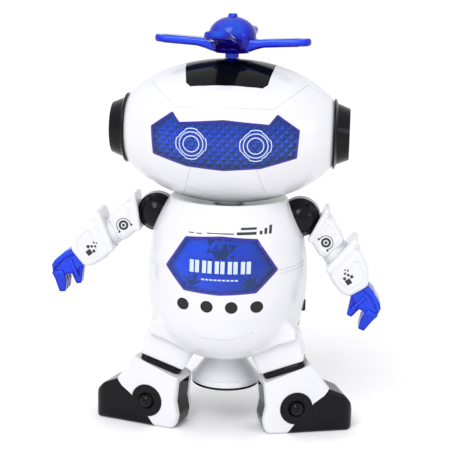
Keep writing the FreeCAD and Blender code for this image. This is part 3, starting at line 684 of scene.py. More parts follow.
def head():
    wall = egg_wall("head_wall", 0, WALL)
    skin = Skin(wall)
    cut(wall, prism("visor_hole", opening(VISOR_HALF, 0, 0.9), -60, -10))
    cut(wall, prism("crown_hole", opening(CROWN_HALF, 0, 0.6), HEAD_Z + 10, HEAD_Z + 50, "Z"))
    cut(wall, rod("neck_hole", (0, 0, 98), (0, 0, 128), 9.0))
    rear = duplicate(wall, "head_rear_shell_skin")
    cut(wall, *head_grooves())
    wall.name = "head_front_shell_skin"
    keep(wall, box("front_half", (-70, -60, 90), (70, -FIT / 2, 220)))
    keep(rear, box("rear_half", (-70, FIT / 2, 90), (70, 60, 220)))
    for obj, node in ((wall, "head_front_shell"), (rear, "head_rear_shell")):
        finish_piece(smooth_from(obj, skin), "head", "white_plastic", stands_for=[node])
    crown_piece(skin)
    visor_pieces(skin)
    ears()


def crown_piece(skin):
    cover = egg_wall("crown_cover_skin", 0, WALL)
    cover = keep(cover, prism("crown", opening(CROWN_HALF, FIT, 0.6), 158, 198, "Z"))
    cut(cover, rod("stem_hole", (0, 0, 160), (0, 0, 200), 4.0))
    finish_piece(smooth_from(cover, skin), "head", "black_plastic", stands_for=["crown_cover"])


def visor_pieces(skin):
    edge_width = 0.8
    rim = egg_wall("visor_edge", 0, WALL)
    keep(rim, prism("rim_out", opening(VISOR_HALF, FIT, 0.9), -60, -10))
    cut(rim, prism("rim_in", opening(VISOR_HALF, FIT + edge_width, 0.3), -60, -10))
    finish_piece(smooth_from(rim, skin), "head", "lens_edge")
    lens = egg_wall("visor_lens_skin", 0, WALL)
    keep(lens, prism("lens_out", opening(VISOR_HALF, FIT + edge_width, 0.3), -60, -10))
    finish_piece(smooth_from(lens, skin), "head", "lens_clear", ["visor_lens"])
    facets = keep(visor_facets(), prism("facet_out", opening(VISOR_HALF, 0.5, 0.3), -60, -10))
    finish_piece(facets, "head", "blue_facets", stands_for=["visor_facet_plate"])
    eye_rings(skin)


def visor_facets():
    """A plate of small four-sided pyramids just behind the visor."""
    cell = 2.1
    columns, rows = 18, 8
    peak = 1.2
    front, back = 3.2, 5.4
    middle_z = 146.9

    def point(i, j, depth):
        x = i * cell
        z = middle_z + j * cell
        a, b = HEAD_A - depth, HEAD_B - depth
        return (x, -b * math.sqrt(1 - (x / a) ** 2 - ((z - HEAD_Z) / b) ** 2), z)

    points, index = [], {}
    for i in range(-columns, columns + 1):
        for j in range(-rows, rows + 1):
            index[i, j] = len(points)
            points.append(point(i, j, front if (i + j) % 2 == 0 else front + peak))
    for i in range(-columns, columns + 1):
        for j in range(-rows, rows + 1):
            index[i, j, "back"] = len(points)
            points.append(point(i, j, back))
    faces = []
    for i in range(-columns, columns):
        for j in range(-rows, rows):
            a, b, c, d = index[i, j], index[i + 1, j], index[i + 1, j + 1], index[i, j + 1]
            faces += [(a, b, c), (a, c, d)] if (i + j) % 2 else [(a, b, d), (b, c, d)]
            faces.append((index[i, j, "back"], index[i, j + 1, "back"], index[i + 1, j + 1, "back"],
                          index[i + 1, j, "back"]))
    for i in range(-columns, columns):
        for j in (-rows, rows):
            faces.append((index[i, j], index[i + 1, j], index[i + 1, j, "back"], index[i, j, "back"]))
    for j in range(-rows, rows):
        for i in (-columns, columns):
            faces.append((index[i, j], index[i, j + 1], index[i, j + 1, "back"], index[i, j, "back"]))
    return new_object("visor_facets", points, faces, smooth=False)


def strip(name, inner, outer, skin, ray, lift=0.04, thick=0.05, closed=True):
    """A printed band between two rows of points, laid on a skin along a ray direction."""
    points, faces = [], []
    for start in list(inner) + list(outer):
        spot, normal = skin.hit(start, ray)
        points.append(spot + normal * (lift + thick))
    count = len(inner)
    base = len(points)
    for start in list(inner) + list(outer):
        spot, normal = skin.hit(start, ray)
        points.append(spot + normal * lift)
    spans = range(count) if closed else range(count - 1)
    for k in spans:
        n = (k + 1) % count
        faces.append((k, n, count + n, count + k))
        faces.append((base + k, base + count + k, base + count + n, base + n))
        faces.append((k, base + k, base + n, n))
        faces.append((count + k, count + n, base + count + n, base + count + k))
    if not closed:
        for k in (0, count - 1):
            faces.append((k, count + k, base + count + k, base + k))
    return new_object(name, points, faces, smooth=False)


def front_ring(name, centre, outer, width, skin, start=0.0, sweep=360.0, steps=56):
    """A printed ring, or part of one, seen from the front. Outer gives its radius at each turn."""
    whole = sweep >= 360
    turns = [math.radians(start + sweep * k / steps) for k in range(steps if whole else steps + 1)]
    rows = []
    for shrink in (width, 0):
        rows.append([(centre[0] + (outer(t) - shrink) * math.cos(t), -80,
                      centre[1] + (outer(t) - shrink) * math.sin(t)) for t in turns])
    return strip(name, rows[0], rows[1], skin, (0, 1, 0), closed=whole)


def print_on(name, parts, body, ink):
    """Joins printed shapes into one piece."""
    return finish_piece(merged(parts, name), body, ink)


def eye_rings(skin):
    """Two printed targets on the visor, each of three rings, the outer one stepped."""
    for side, x in (("right", -EYE_X), ("left", EYE_X)):
        def stepped(turn):
            return 7.55 if math.cos(4 * turn) > -0.2 else 6.95
        rings = [front_ring("ring", (x, EYE_Z), stepped, 0.45, skin, steps=96)]
        for radius in (5.9, 4.0):
            rings.append(front_ring("ring", (x, EYE_Z), lambda turn, r=radius: r, 0.45, skin))
        print_on(side + "_eye_rings", rings, "head", "pale_ink")


def ears():
    """A glossy flanged cup at each end of the head, dished on its outer face."""
    profile = eased([(9.0, 44.0), (9.0, HEAD_END), (17.2, HEAD_END), (17.2, 51.4), (14.9, 52.5),
                     (12.5, EAR_OUT), (11.0, EAR_OUT), (10.2, EAR_OUT - 1.3), (3.4, EAR_OUT - 1.5)],
                    0.5, 4, closed=False)
    profile = [(0, 44.0)] + profile + [(0, EAR_OUT - 1.5)]
    for side, sign in (("left", 1), ("right", -1)):
        ear = lathe(side + "_ear_cup_skin", [(r, sign * x) for r, x in profile], "X", (0, 0, HEAD_Z), 128)
        ear.data.set_sharp_from_angle(angle=math.radians(30))
        finish_piece(ear, "head", "black_plastic", stands_for=[side + "_ear_cup"])


# ---- propeller ---------------------------------------------------------------------------------
BLADE_TILT = {0: 3.0, 90: 9.0, 180: 3.0, 270: 9.0}
PROP_TURN = -6.5
BLADE_W = 13.0
BLADE_RISE = -3.5              # the blades' middle, above the middle of the hub


def blade(heading, tilt):
    """One round-ended paddle that thickens towards the hub, with a nub under its tip."""
    tip = PROP_R - BLADE_W / 2

    def distance(p):
        plan = np.hypot(np.maximum(p[:, 0] - tip, 0), p[:, 1]) - BLADE_W / 2
        flare = np.clip((17 - p[:, 0]) / 9, 0, 1)
        side = np.maximum(np.abs(p[:, 2] + 0.9 * flare) - (2.0 + 1.5 * flare ** 2), 5 - p[:, 0])
        return rounded_meeting(plan, side, 1.5)

    def both(p):
        nub = np.hypot(np.hypot(p[:, 0] - PROP_R + 5, p[:, 1]), (p[:, 2] + 2.2)) - 1.7
        return melted(distance(p), nub, 0.8)

    paddle = blob("blade", both, (21, 0, 0), 60, 120, 40)
    turn = Matrix.Rotation(math.radians(heading + PROP_TURN), 4, "Z")
    rise = turned_to((0, 0, HUB_Z + BLADE_RISE), "Y", -tilt)
    piece = placed(paddle, "blade_placed", turn @ rise)
    bpy.data.objects.remove(paddle)
    return piece


def quarter_oval(radius, rise, start, steps, base):
    """(radius, height) points from that many degrees above an oval's widest place down to it."""
    turns = np.linspace(math.radians(start), 0, steps)
    return [(radius * math.cos(turn), base + rise * math.sin(turn)) for turn in turns]


def propeller():
    top = HUB_Z + 11.1
    bottom = HUB_Z - 7.8
    dome = quarter_oval(HUB_R, 9.3, 78, 14, HUB_Z + 0.4)
    outer = eased([(0, top), (2.0, top), (2.3, HUB_Z + 9.5)], 0.5, 3, closed=False)[:-1] + dome
    outer += eased([(HUB_R, HUB_Z - 2.0), (10.2, HUB_Z - 6.0), (8.2, bottom), (0, bottom)], 0.8, 4,
                   closed=False)
    hub = lathe("propeller_skin", [(max(r, 0), z) for r, z in outer], steps=96)
    hollow = [(0, HUB_Z + 8.0)] + quarter_oval(9.9, 8.0, 80, 12, HUB_Z)
    hollow += [(9.0, HUB_Z - 4.0), (0, HUB_Z - 4.0)]
    join(hub, *[blade(heading, tilt) for heading, tilt in BLADE_TILT.items()])
    cut(hub, lathe("hub_hollow", hollow, steps=72))
    post_side = [(0, HUB_Z + 9.2), (3.6, HUB_Z + 9.2), (4.2, HUB_Z - 5.5), (0, HUB_Z - 5.5)]
    post = lathe("hub_post", eased(post_side, 0.3, 2, closed=False), steps=48)
    stem_bottom = HEAD_Z + HEAD_B + 0.3
    stem = rod("stem", (0, 0, stem_bottom), (0, 0, HUB_Z - 5), STEM_R)
    pin = rod("pin", (0, 0, HEAD_Z + 24), (0, 0, stem_bottom + 1), 2.0)
    join(hub, post, stem, pin)
    hub.data.set_sharp_from_angle(angle=math.radians(32))
    for face in hub.data.polygons:
        face.use_smooth = True
    finish_piece(hub, "propeller", "blue_clear_plastic", stands_for=["propeller"])


# ---- torso -------------------------------------------------------------------------------------
def pocket_cutters(sign):
    """The room that a hip drum and thigh swing through."""
    x = sign * HIP[0]
    low, high = HIP[1] - HIP_HALF_WIDTH - 0.8, HIP[1] + HIP_HALF_WIDTH + 0.8
    reach = HIP_R + 0.6
    side = sorted((x, sign * 60))
    under = sorted((sign * (HIP[0] - reach), x))
    return [rod("room", (x, low, HIP[2]), (x, high, HIP[2]), reach, 96),
            box("swing", (side[0], low, 20), (side[1], high, HIP[2] + 11.9)),
            box("below", (under[0], low, 20), (under[1], high, HIP[2]))]


def torso_inside():
    inside = torso_solid("torso_inside", TORSO_INSIDE, 96)
    for sign in (-1, 1):
        cut(inside, rod("lining", (sign * HIP[0], -22.8, HIP[2]), (sign * HIP[0], 2.8, HIP[2]), 15.3))
    return inside


def torso_grooves(skin):
    """The belt line from the lens round to each side, and the bottom seam."""
    def seen(corners):
        return [skin.hit((x, -90, z), (0, 1, 0))[0] for x, z in path_points(corners)]

    lines = []
    for side in (-1, 1):
        for low in (0, 1.6):
            belt = [(27.6, 85.6), (34, 86.0), (38.0, 86.4)]
            lines.append(seen([(side * x, z - low) for x, z in belt]))
    arc = [(16.0 * t / 8, 51.8 + 3.9 * (t / 8) ** 2) for t in range(-8, 9)]
    lines.append([skin.hit((x, -90, z), (0, 1, 0))[0] for x, z in arc])
    return [groove_tube(line, 0.28) for line in lines]


def torso():
    whole = blob("torso_whole", torso_distance(), (0, 0, TORSO_MID_Z), 190, 240)
    skin = Skin(whole)
    shell = duplicate(whole, "body_front_shell_skin")
    cut(shell, torso_inside())
    for sign in (-1, 1):
        cut(shell, *pocket_cutters(sign))
        x = sign * SHOULDER[0]
        slot = [(x, y, SHOULDER[2]) for y in (-TONGUE_HALF, TONGUE_HALF)]
        cut(shell, rod("arm_slot", *slot, SHOULDER_R + 0.4))
    cut(shell, prism("lens_hole", opening(LENS_HALF, 0, 1.2), -60, -10))
    cut(shell, prism("door_hole", eased(DOOR, 2.0), 20, 60))
    cut(shell, box("switch_hole", (30, SWITCH_Y[0], SWITCH_Z[0]), (50, SWITCH_Y[1], SWITCH_Z[1])))
    cut(shell, rod("post_hole", (0, 0, 105), (0, 0, 130), 6.0))
    cut(shell, rod("spindle_hole", (0, 0, 30), (0, 0, 42), 5.0))
    for x in PORT_X:
        cut(shell, rod("port", (x, -60, PORT_Z), (x, -10, PORT_Z), PORT_R))
    rear = duplicate(shell, "body_rear_shell_skin")
    keep(shell, box("front", (-60, -60, 0), (60, TORSO_SPLIT_Y - FIT / 2, 140)))
    keep(rear, box("rear", (-60, TORSO_SPLIT_Y + FIT / 2, 0), (60, 60, 140)))
    cut(shell, *torso_grooves(skin))
    for obj, node in ((shell, "body_front_shell"), (rear, "body_rear_shell")):
        finish_piece(smooth_from(obj, skin), "torso", "white_plastic", stands_for=[node])
    chest(skin)
    sound_ports()
    back_door(skin)
    power_switch()
    shoulders(whole)
    bpy.data.objects.remove(whole)
    return skin


def chest(skin):
    edge_width = 1.0
    wall = torso_solid("chest_edge", 1.0)
    cut(wall, torso_solid("inner", TORSO_INSIDE, 120))
    rim = duplicate(wall, "chest_lens_edge")
    keep(rim, prism("out", opening(LENS_HALF, FIT, 1.2), -60, -10))
    cut(rim, prism("in", opening(LENS_HALF, FIT + edge_width, 0.4), -60, -10))
    finish_piece(smooth_from(rim, skin), "torso", "lens_edge")
    wall.name = "chest_lens_skin"
    keep(wall, prism("lens", opening(LENS_HALF, FIT + edge_width, 0.4), -60, -10))
    finish_piece(smooth_from(wall, skin), "torso", "lens_clear", ["chest_lens"])
    plate = torso_solid("chest_facet_plate_skin", PLATE_FRONT, 120)
    plate = keep(plate, prism("plate", opening(LENS_HALF, 0.5, 0.4), -60, -10))
    cut(plate, torso_solid("plate_back", PLATE_BACK, 96))
    finish_piece(smooth_from(plate), "torso", "blue_facets", stands_for=["chest_facet_plate"])
    plate_skin_object = torso_solid("plate_skin", PLATE_FRONT, 96)
    plate_skin = Skin(plate_skin_object)
    bpy.data.objects.remove(plate_skin_object)
    chest_gems(plate_skin)
    chest_print(skin)


def gem(centre, radius, turn, skin, chips):
    """A dark cut stone: a six-sided table with a ring of small triangular chips round it."""
    points, faces = [], []

    def spot(x, z, lift):
        found, normal = skin.hit((x, -90, z), (0, 1, 0))
        return found + normal * lift

    def pyramid(outline, height):
        base = len(points)
        middle = (sum(x for x, z in outline) / len(outline), sum(z for x, z in outline) / len(outline))
        points.append(spot(*middle, height))
        points.extend(spot(x, z, 0.05) for x, z in outline)
        points.append(spot(*middle, -0.5))
        count = len(outline)
        for k in range(count):
            a, b = base + 1 + k, base + 1 + (k + 1) % count
            faces.append((base, a, b))
            faces.append((base + count + 1, b, a))

    def around(r, degrees):
        angle = math.radians(degrees)
        return (centre[0] + r * math.cos(angle), centre[1] + r * math.sin(angle))

    pyramid([around(radius, turn + 60 * k) for k in range(6)], 0.7)
    for k in range(chips):
        middle = turn + 360 * (k + 0.5) / chips
        r = radius * (1.45 if k % 2 else 1.25)
        size = radius * (0.38 if k % 3 else 0.55)
        a = around(r, middle)
        corners = [(a[0] + size * math.cos(math.radians(middle + 120 * n + 40 * k)),
                    a[1] + size * math.sin(math.radians(middle + 120 * n + 40 * k))) for n in range(3)]
        pyramid(corners, 0.5)
    return new_object("gem", points, faces, smooth=False)


def chest_gems(skin):
    stones = [gem((0, 95.2), 4.6, 0, skin, 9), gem((-13.6, 80.4), 2.7, 30, skin, 7),
              gem((13.6, 80.2), 2.7, 10, skin, 7)]
    finish_piece(merged(stones, "chest_gems"), "torso", "dark_facets")


def bar(x0, x1, z0, z1, skin, spacing=1.0):
    """A printed bar on the front of a skin."""
    steps = max(1, round((x1 - x0) / spacing))
    xs = [x0 + (x1 - x0) * k / steps for k in range(steps + 1)]
    rows = [[(x, -80, z) for x in xs] for z in (z0, z1)]
    return strip("bar", *rows, skin, (0, 1, 0), closed=False)


def chest_print(skin):
    """Plain bars and blocks, where such toys carry a printed badge."""
    blocks = []
    width, pitch = 4.6, 6.1
    for k in range(5):
        x = (k - 2) * pitch
        blocks.append(bar(x - width / 2, x - 0.35, 85.4, 91.2, skin))
        blocks.append(bar(x + 0.35, x + width / 2, 85.4, 91.2, skin))
    for k in range(9):
        x = -8 + 2 * k
        blocks.append(bar(x - 0.7, x + 0.7, 82.0, 82.7, skin))
    print_on("chest_lens_bars", blocks, "torso", "pale_ink")
    dashes = [(-15.7, -13.1, 103.3, 103.7), (-11.8, -9.2, 103.3, 103.7), (-6.7, 6.0, 103.7, 104.2),
              (7.4, 16.4, 103.5, 104.7), (9.2, 16.4, 105.7, 106.7)]
    marks = [bar(*dash, skin) for dash in dashes]
    for k in range(3):
        marks.append(bar(17.9 + 2.1 * k, 19.1 + 2.1 * k, 103.4, 105.0 + 1.1 * k, skin))
    print_on("chest_marks", marks, "torso", "black_ink")


def sound_ports():
    """Four dull pads, each just under the rim of its hole."""
    for number, x in enumerate(PORT_X, 1):
        pad = keep(torso_solid("sound_port_pad_" + str(number), 0.99, 120),
                   rod("pad_rod", (x, -60, PORT_Z), (x, -30, PORT_Z), PORT_R - 0.08))
        smooth_from(pad)
        stands_for = ["sound_port_pads"] if number == 1 else []
        finish_piece(pad, "torso", "dull_black", stands_for=stands_for)


def back_door(skin):
    """The curved battery door with its screw well and finger grip."""
    piece = torso_solid("battery_door_skin", 1.0)
    cut(piece, torso_solid("inner", TORSO_INSIDE, 120))
    keep(piece, prism("door", eased(inset(DOOR, 0.25), 1.8), 20, 60))
    cut(piece, rod("well", (0, 37.4, DOOR_SCREW_Z), (0, 50, DOOR_SCREW_Z), 2.6),
        rod("screw_way", (0, 20, DOOR_SCREW_Z), (0, 60, DOOR_SCREW_Z), 1.3))
    for k in range(4):
        z = 64.4 + 1.5 * k
        cut(piece, rod("grip", (-6, 40.1, z), (6, 40.1, z), 0.7, 12))
    finish_piece(smooth_from(piece, skin), "battery_door", "white_plastic", stands_for=["battery_door"])


def power_switch():
    """A ribbed slide button."""
    low, high = SWITCH_Z[0] + 0.3, SWITCH_Z[1] - 2.3
    teeth = 4
    pitch = (high - low) / teeth
    valley, peak = 39.2, 39.9
    outline = [(35.0, low)]
    for k in range(teeth):
        foot = low + pitch * k
        outline += [(valley, foot), (peak, foot + 0.3 * pitch), (peak, foot + 0.6 * pitch)]
    outline += [(valley, high), (35.0, high)]
    button = prism("power_switch_skin", outline, SWITCH_Y[0] + 0.3, SWITCH_Y[1] - 0.3)
    chamfer(button, 0.12, 2)
    finish_piece(button, "power_switch", "dull_black", stands_for=["power_switch"])


def shoulders(whole):
    """A glossy black cap in front and a white one behind, on each side of the arm's disc."""
    def cap(name, radius, towards, lip):
        turns = np.linspace(0, math.acos(TONGUE_HALF / radius), 30)
        profile = [(radius * math.sin(t), radius * math.cos(t)) for t in turns]
        if lip:
            profile = [p for p in profile if p[1] > 3.7]
            profile += [(radius - 1.0, 3.5), (radius - 0.75, 3.3), (radius - 0.15, 3.1), (radius, 2.8)]
        profile += [(profile[-1][0], TONGUE_HALF), (0, TONGUE_HALF)]
        profile = [(r, towards * h) for r, h in profile]
        return lathe(name, profile, "Y", SHOULDER, 96)

    kinds = [("shoulder_cap", SHOULDER_R, -1, "black_plastic", True),
             ("shoulder_back", SHOULDER_R + 0.6, 1, "white_plastic", False)]
    for name, radius, towards, look, lip in kinds:
        dome = cap(name, radius, towards, lip)
        skin = Skin(dome)
        cut(dome, duplicate(whole, "torso_cutter"))
        smooth_from(dome, skin)
        for side, matrix in (("left", Matrix.Identity(4)), ("right", MIRROR)):
            piece = placed(dome, side + "_" + name + "_skin", matrix)
            finish_piece(piece, "torso", look, stands_for=[side + "_" + name])
        bpy.data.objects.remove(dome)


# ---- arms --------------------------------------------------------------------------------------
# Arm outlines are (along the limb, above the pivot line), with the pivot at (0, 0).
UPPER_ARM = [(2.9, 13.9), (11.9, -1.6), (24.2, -2.2), (21.8, 12.8)]
UPPER_RIM = [(1.4, 14.6), (10.8, -2.2), (14.0, -2.4), (5.0, 14.4)]
FOREARM = [(24.6, 17.3), (39.6, 15.2), (46.3, 10.8), (46.0, -0.4), (42.0, -2.8), (34.0, -3.5), (28.5, -2.2)]
FOREARM_RIM = [(22.0, 17.2), (23.2, 18.6), (25.6, 18.2), (31.0, -2.7), (27.6, -2.4)]
UPPER_HALF = 7.6
FOREARM_HALF = 9.2
PANEL_UPPER = [(8.8, 11.6), (14.6, 0.6), (21.0, 0.2), (19.2, 11.2)]
PANEL_FOREARM = [(31.6, 13.8), (40.6, 12.2), (42.8, 8.6), (42.2, 1.6), (35.8, -0.4)]
DOTS = [(38.9, 3.9, 1.35), (37.5, 6.6, 0.75), (35.9, 5.6, 0.6), (34.5, 4.6, 0.5), (36.5, 3.1, 0.7),
        (33.9, 6.6, 0.4), (32.9, 5.6, 0.35)]


def limb(name, body, rim, half, rim_half, centre, softness):
    """A moulded arm section: a rounded box that flares into a collar at its upper end."""
    main = extrusion(body, half, 2.6, 1.5)
    collar = extrusion(rim, rim_half, 1.2)

    def distance(p):
        return melted(main(p), collar(p), softness)
    return blob(name, distance, centre, 110, 150, 40)


def panel_grooves(outline, half):
    """A shallow line round a panel on both broad faces."""
    loop = path_points(eased(outline, 1.6, 4) + [eased(outline, 1.6, 4)[0]], 1.0)[:-1]
    return [groove_tube([(x, side * half, z) for x, z in loop], 0.24, closed=True) for side in (-1, 1)]


def upper_arm():
    arm = limb("upper_arm", UPPER_ARM, UPPER_RIM, UPPER_HALF, UPPER_HALF + 0.8, (15.5, 0, 5.6), 1.6)
    skin = Skin(arm)
    ball_r = SHOULDER_R + 1.3
    turns = np.linspace(0, math.pi, 40)
    cut(arm, lathe("ball", [(ball_r * math.sin(turn), ball_r * math.cos(turn)) for turn in turns], "Y"))
    cut(arm, *panel_grooves(PANEL_UPPER, UPPER_HALF))
    smooth_from(arm, skin)
    elbow = lathe("elbow", eased([(0, 20), (7.0, 20), (7.0, 30), (0, 30)], 0.4, 3, closed=False), "X",
                  (0, 0, ARM_AXIS_V), 64)
    tongue_side = [(0, 2.0), (9.0, 2.0), (9.0, -2.0), (0, -2.0)]
    tongue = lathe("tongue", eased(tongue_side, 0.3, 2, closed=False), "Y")
    neck = box("neck", (3.0, -2.0, 0.0), (16.0, 2.0, 8.0))
    return arm, [elbow, tongue, neck], skin


def forearm():
    arm = limb("forearm", FOREARM, FOREARM_RIM, FOREARM_HALF, FOREARM_HALF + 0.6, (36, 0, 6.4), 1.8)
    skin = Skin(arm)
    cut(arm, rod("cavity", (10, 0, ARM_AXIS_V), (30.4, 0, ARM_AXIS_V), 7.3, 72))
    cut(arm, *panel_grooves(PANEL_FOREARM, FOREARM_HALF))
    smooth_from(arm, skin)
    return arm, [], skin


# Hand outlines, from the wrist to the fingertips.
PALM = [(46.3, 10.2), (54.0, 10.8), (60.0, 9.6), (61.6, 7.0), (61.0, 1.8), (56.0, 1.4), (54.0, -0.2),
        (46.3, 0.2)]
BACK = [(46.4, 10.6), (50.5, 11.4), (56.8, 11.0), (60.0, 9.7), (60.4, 7.2), (52.0, 8.4), (46.4, 7.0)]
FINGER = [(56.6, 4.4), (61.9, 7.2), (62.8, 3.0), (65.0, -3.4), (62.4, -5.2), (58.8, -1.4), (57.4, 1.4)]
THUMB = [(47.2, 4.2), (53.2, 3.9), (55.2, -0.2), (56.5, -5.4), (54.2, -6.7), (49.8, -2.4), (46.9, 0.2)]
RIDGE = [(49.2, 6.6), (51.8, 6.2), (53.6, -3.0), (52.0, -3.4)]


def slab(name, outline, middle, half, rounding=0.7):
    """One flat moulded piece of the hand."""
    distance = extrusion(outline, half, rounding)
    centre = np.mean(np.array(outline), 0)
    piece = blob(name, distance, (centre[0], 0, centre[1]), 56, 72, 20)
    piece.data.transform(Matrix.Translation((0, middle * MM, 0)))
    return piece


def hand():
    """A palm with a back plate and a thumb, and three fingers side by side."""
    palm = slab("palm", PALM, 0, 5.6)
    fingers = [slab("finger", FINGER, y, 1.9) for y in (-4.7, 0.0, 4.7)]
    join(palm, slab("back", BACK, 0, 6.6), *fingers)
    join(palm, slab("thumb", THUMB, 0, 3.2), slab("ridge", RIDGE, -3.4, 3.0, 0.5))
    join(palm, rod("peg", (41, 0, ARM_AXIS_V), (49, 0, ARM_AXIS_V), 2.5))
    palm.data.set_sharp_from_angle(angle=math.radians(40))
    return palm


def arm_badge(skin):
    """A printed disc with a plain ring and dot on it, and an open arc round it."""
    centre = (16.6, 4.7)
    disc = [front_ring("disc", centre, lambda t: 2.45, 1.1, skin, steps=40),
            front_ring("dot", centre, lambda t: 0.75, 0.74, skin, steps=24),
            front_ring("arc", centre, lambda t: 3.6, 0.32, skin, -20, 230, 40)]
    for degrees in (-22, 212):
        x = centre[0] + 4.0 * math.cos(math.radians(degrees))
        z = centre[1] + 4.0 * math.sin(math.radians(degrees))
        disc.append(bar(x - 0.55, x + 0.55, z - 0.4, z + 0.4, skin))
    return disc


def arms():
    parts = {"upper_arm": upper_arm(), "forearm": forearm()}
    prints = {"upper_arm": arm_badge(parts["upper_arm"][2]),
              "forearm": [bar(u - s, u + s, v - s, v + s, parts["forearm"][2], 5) for u, v, s in DOTS]}
    prints = {name: merged(marks, name + "_print") for name, marks in prints.items()}
    whole_hand = hand()
    for side in ("left", "right"):
        place = turned_to(SHOULDER, "Y", ARM_DROP[side])
        if side == "right":
            place = MIRROR @ place
        for name, (arm, extras, _) in parts.items():
            piece = placed(arm, side + "_" + name + "_skin", place)
            finish_piece(piece, side + "_" + name, "white_plastic", stands_for=[side + "_" + name])
            for extra in extras:
                piece = placed(extra, side + "_" + extra.name, place)
                finish_piece(piece, side + "_" + name, "white_plastic")
            mark = placed(prints[name], side + "_" + name + "_print", place)
            finish_piece(mark, side + "_" + name, "black_ink")
        piece = placed(whole_hand, side + "_hand_skin", place)
        finish_piece(piece, side + "_hand", "blue_clear_plastic", stands_for=[side + "_hand"])
    for arm, extras, _ in parts.values():
        for obj in [arm] + extras:
            bpy.data.objects.remove(obj)
    for obj in list(prints.values()) + [whole_hand]:
        bpy.data.objects.remove(obj)


# ---- legs --------------------------------------------------------------------------------------
BOOT_SIDE = [(-13.5, 0), (28.8, 0), (30.6, 2.6), (30.6, 7.4), (28.8, 14.0), (25.4, 18.4), (17.5, 21.8),
             (4.0, 40.0), (-17.0, 36.0), (-16.2, 24.0), (-15.2, 14.0), (-16.6, 7.0), (-15.6, 2.0)]
SHELL_SIDE = [(-30, -2), (-6, -2), (-1.5, 4.0), (9.0, 15.5), (14.0, 19.0), (18.0, 24.0), (18, 50),
              (-30, 50)]
CORE_HALF = 6.0
BRIDGE_Z = 24.0
THIGH_HALF = 11.3


def thigh():
    """The hip drum and the short square shank under it, in the leg's own frame."""
    end = -(BAND_DROP - BAND_T / 2)
    dome = [(HIP_R * math.cos(t), HIP_R * math.sin(t)) for t in np.linspace(0, math.pi, 25)]
    outline = [(THIGH_HALF, end)] + dome + [(-THIGH_HALF, end)]
    side = extrusion(outline, HIP_HALF_WIDTH, 1.6)
    plan_box = eased([(-13, -10), (13, -10), (13, 10), (-13, 10)], 4.0, 6)

    def distance(p):
        return np.maximum(side(p), polygon_distance(plan_box, p[:, 0], p[:, 1]))
    return blob("thigh", distance, (0, 0, 0), 100, 140, 30)


def ankle_band():
    """A soft-edged black band round the ankle."""
    low = -(BAND_DROP + BAND_T / 2)
    plan = eased([(-THIGH_HALF + 0.5, -9.6), (THIGH_HALF - 0.5, -9.6), (THIGH_HALF - 0.5, 9.6),
                  (-THIGH_HALF + 0.5, 9.6)], 4.0, 6)
    band = prism("ankle_band", plan, low + 0.03, low + BAND_T - 0.03, "Z")
    return chamfer(band, 1.1, 4)


def boot_form():
    side = extrusion(BOOT_SIDE, BOOT_HALF_WIDTH, 2.0, 5.0)
    box_plan = [(30.6, -10), (30.6, 10), (-17.0, 10), (-17.0, -10)]
    toe = eased(box_plan, 8.0, 10)
    heel = eased(box_plan, 4.0, 8)
    plan = [p for p in toe if p[0] > 5] + [p for p in heel if p[0] <= 5]

    def distance(p):
        return np.maximum(side(p), polygon_distance(plan, p[:, 0], p[:, 1]))
    return blob("boot", distance, (3, 0, 13), 130, 190, 50)


def leg_place():
    return Matrix.Translation(Vector(HIP)) @ Matrix.Rotation(math.radians(-LEG_TILT), 4, "Y")


def boot_place():
    return Matrix.Translation(Vector(BOOT)) @ Matrix.Rotation(math.radians(BOOT_YAW), 4, "Z")


def boots():
    """The white ankle shell, the black core with its toe, and the domed ankle discs, for the left leg."""
    form = boot_form()
    to_leg = boot_place().inverted() @ leg_place()
    above = box("above", (-40, -40, -(BAND_DROP + BAND_T / 2)), (40, 40, 60))
    above.data.transform(Matrix.Scale(MM, 4) @ to_leg @ Matrix.Scale(1 / MM, 4))
    cut(form, above)
    skin = Skin(form)
    middle = box("middle", (-40, -CORE_HALF, -5), (40, CORE_HALF, BRIDGE_Z))
    outside = cut(prism("outside", SHELL_SIDE, -30, 30), middle)
    shell = duplicate(form, "boot_shell")
    keep(shell, duplicate(outside, "outside_copy"))
    core = form
    core.name = "boot_core"
    cut(core, outside)
    for obj, start in ((shell, CORE_HALF - 0.5), (core, CORE_HALF - 0.05)):
        rods = [rod("disc", (0, s * start, DISC_Z), (0, s * 12, DISC_Z), DISC_R + 0.1, 72) for s in (-1, 1)]
        cut(obj, *rods)
    smooth_from(shell, skin)
    smooth_from(core, skin)
    discs = []
    for s in (-1, 1):
        face = BOOT_HALF_WIDTH + 0.5
        dome = quarter_oval(3.6, 3.2, 90, 10, face - 0.4)[::-1]
        profile = eased([(0, CORE_HALF + 0.1), (DISC_R, CORE_HALF + 0.1), (DISC_R, face), (4.2, face - 0.1),
                         (4.0, face - 0.5)], 0.5, 4, closed=False) + dome[1:]
        disc = lathe("disc", [(r if r > 1e-6 else 0, s * y) for r, y in profile], "Y", (0, 0, DISC_Z), 80)
        disc.data.set_sharp_from_angle(angle=math.radians(35))
        discs.append(disc)
    return shell, core, discs


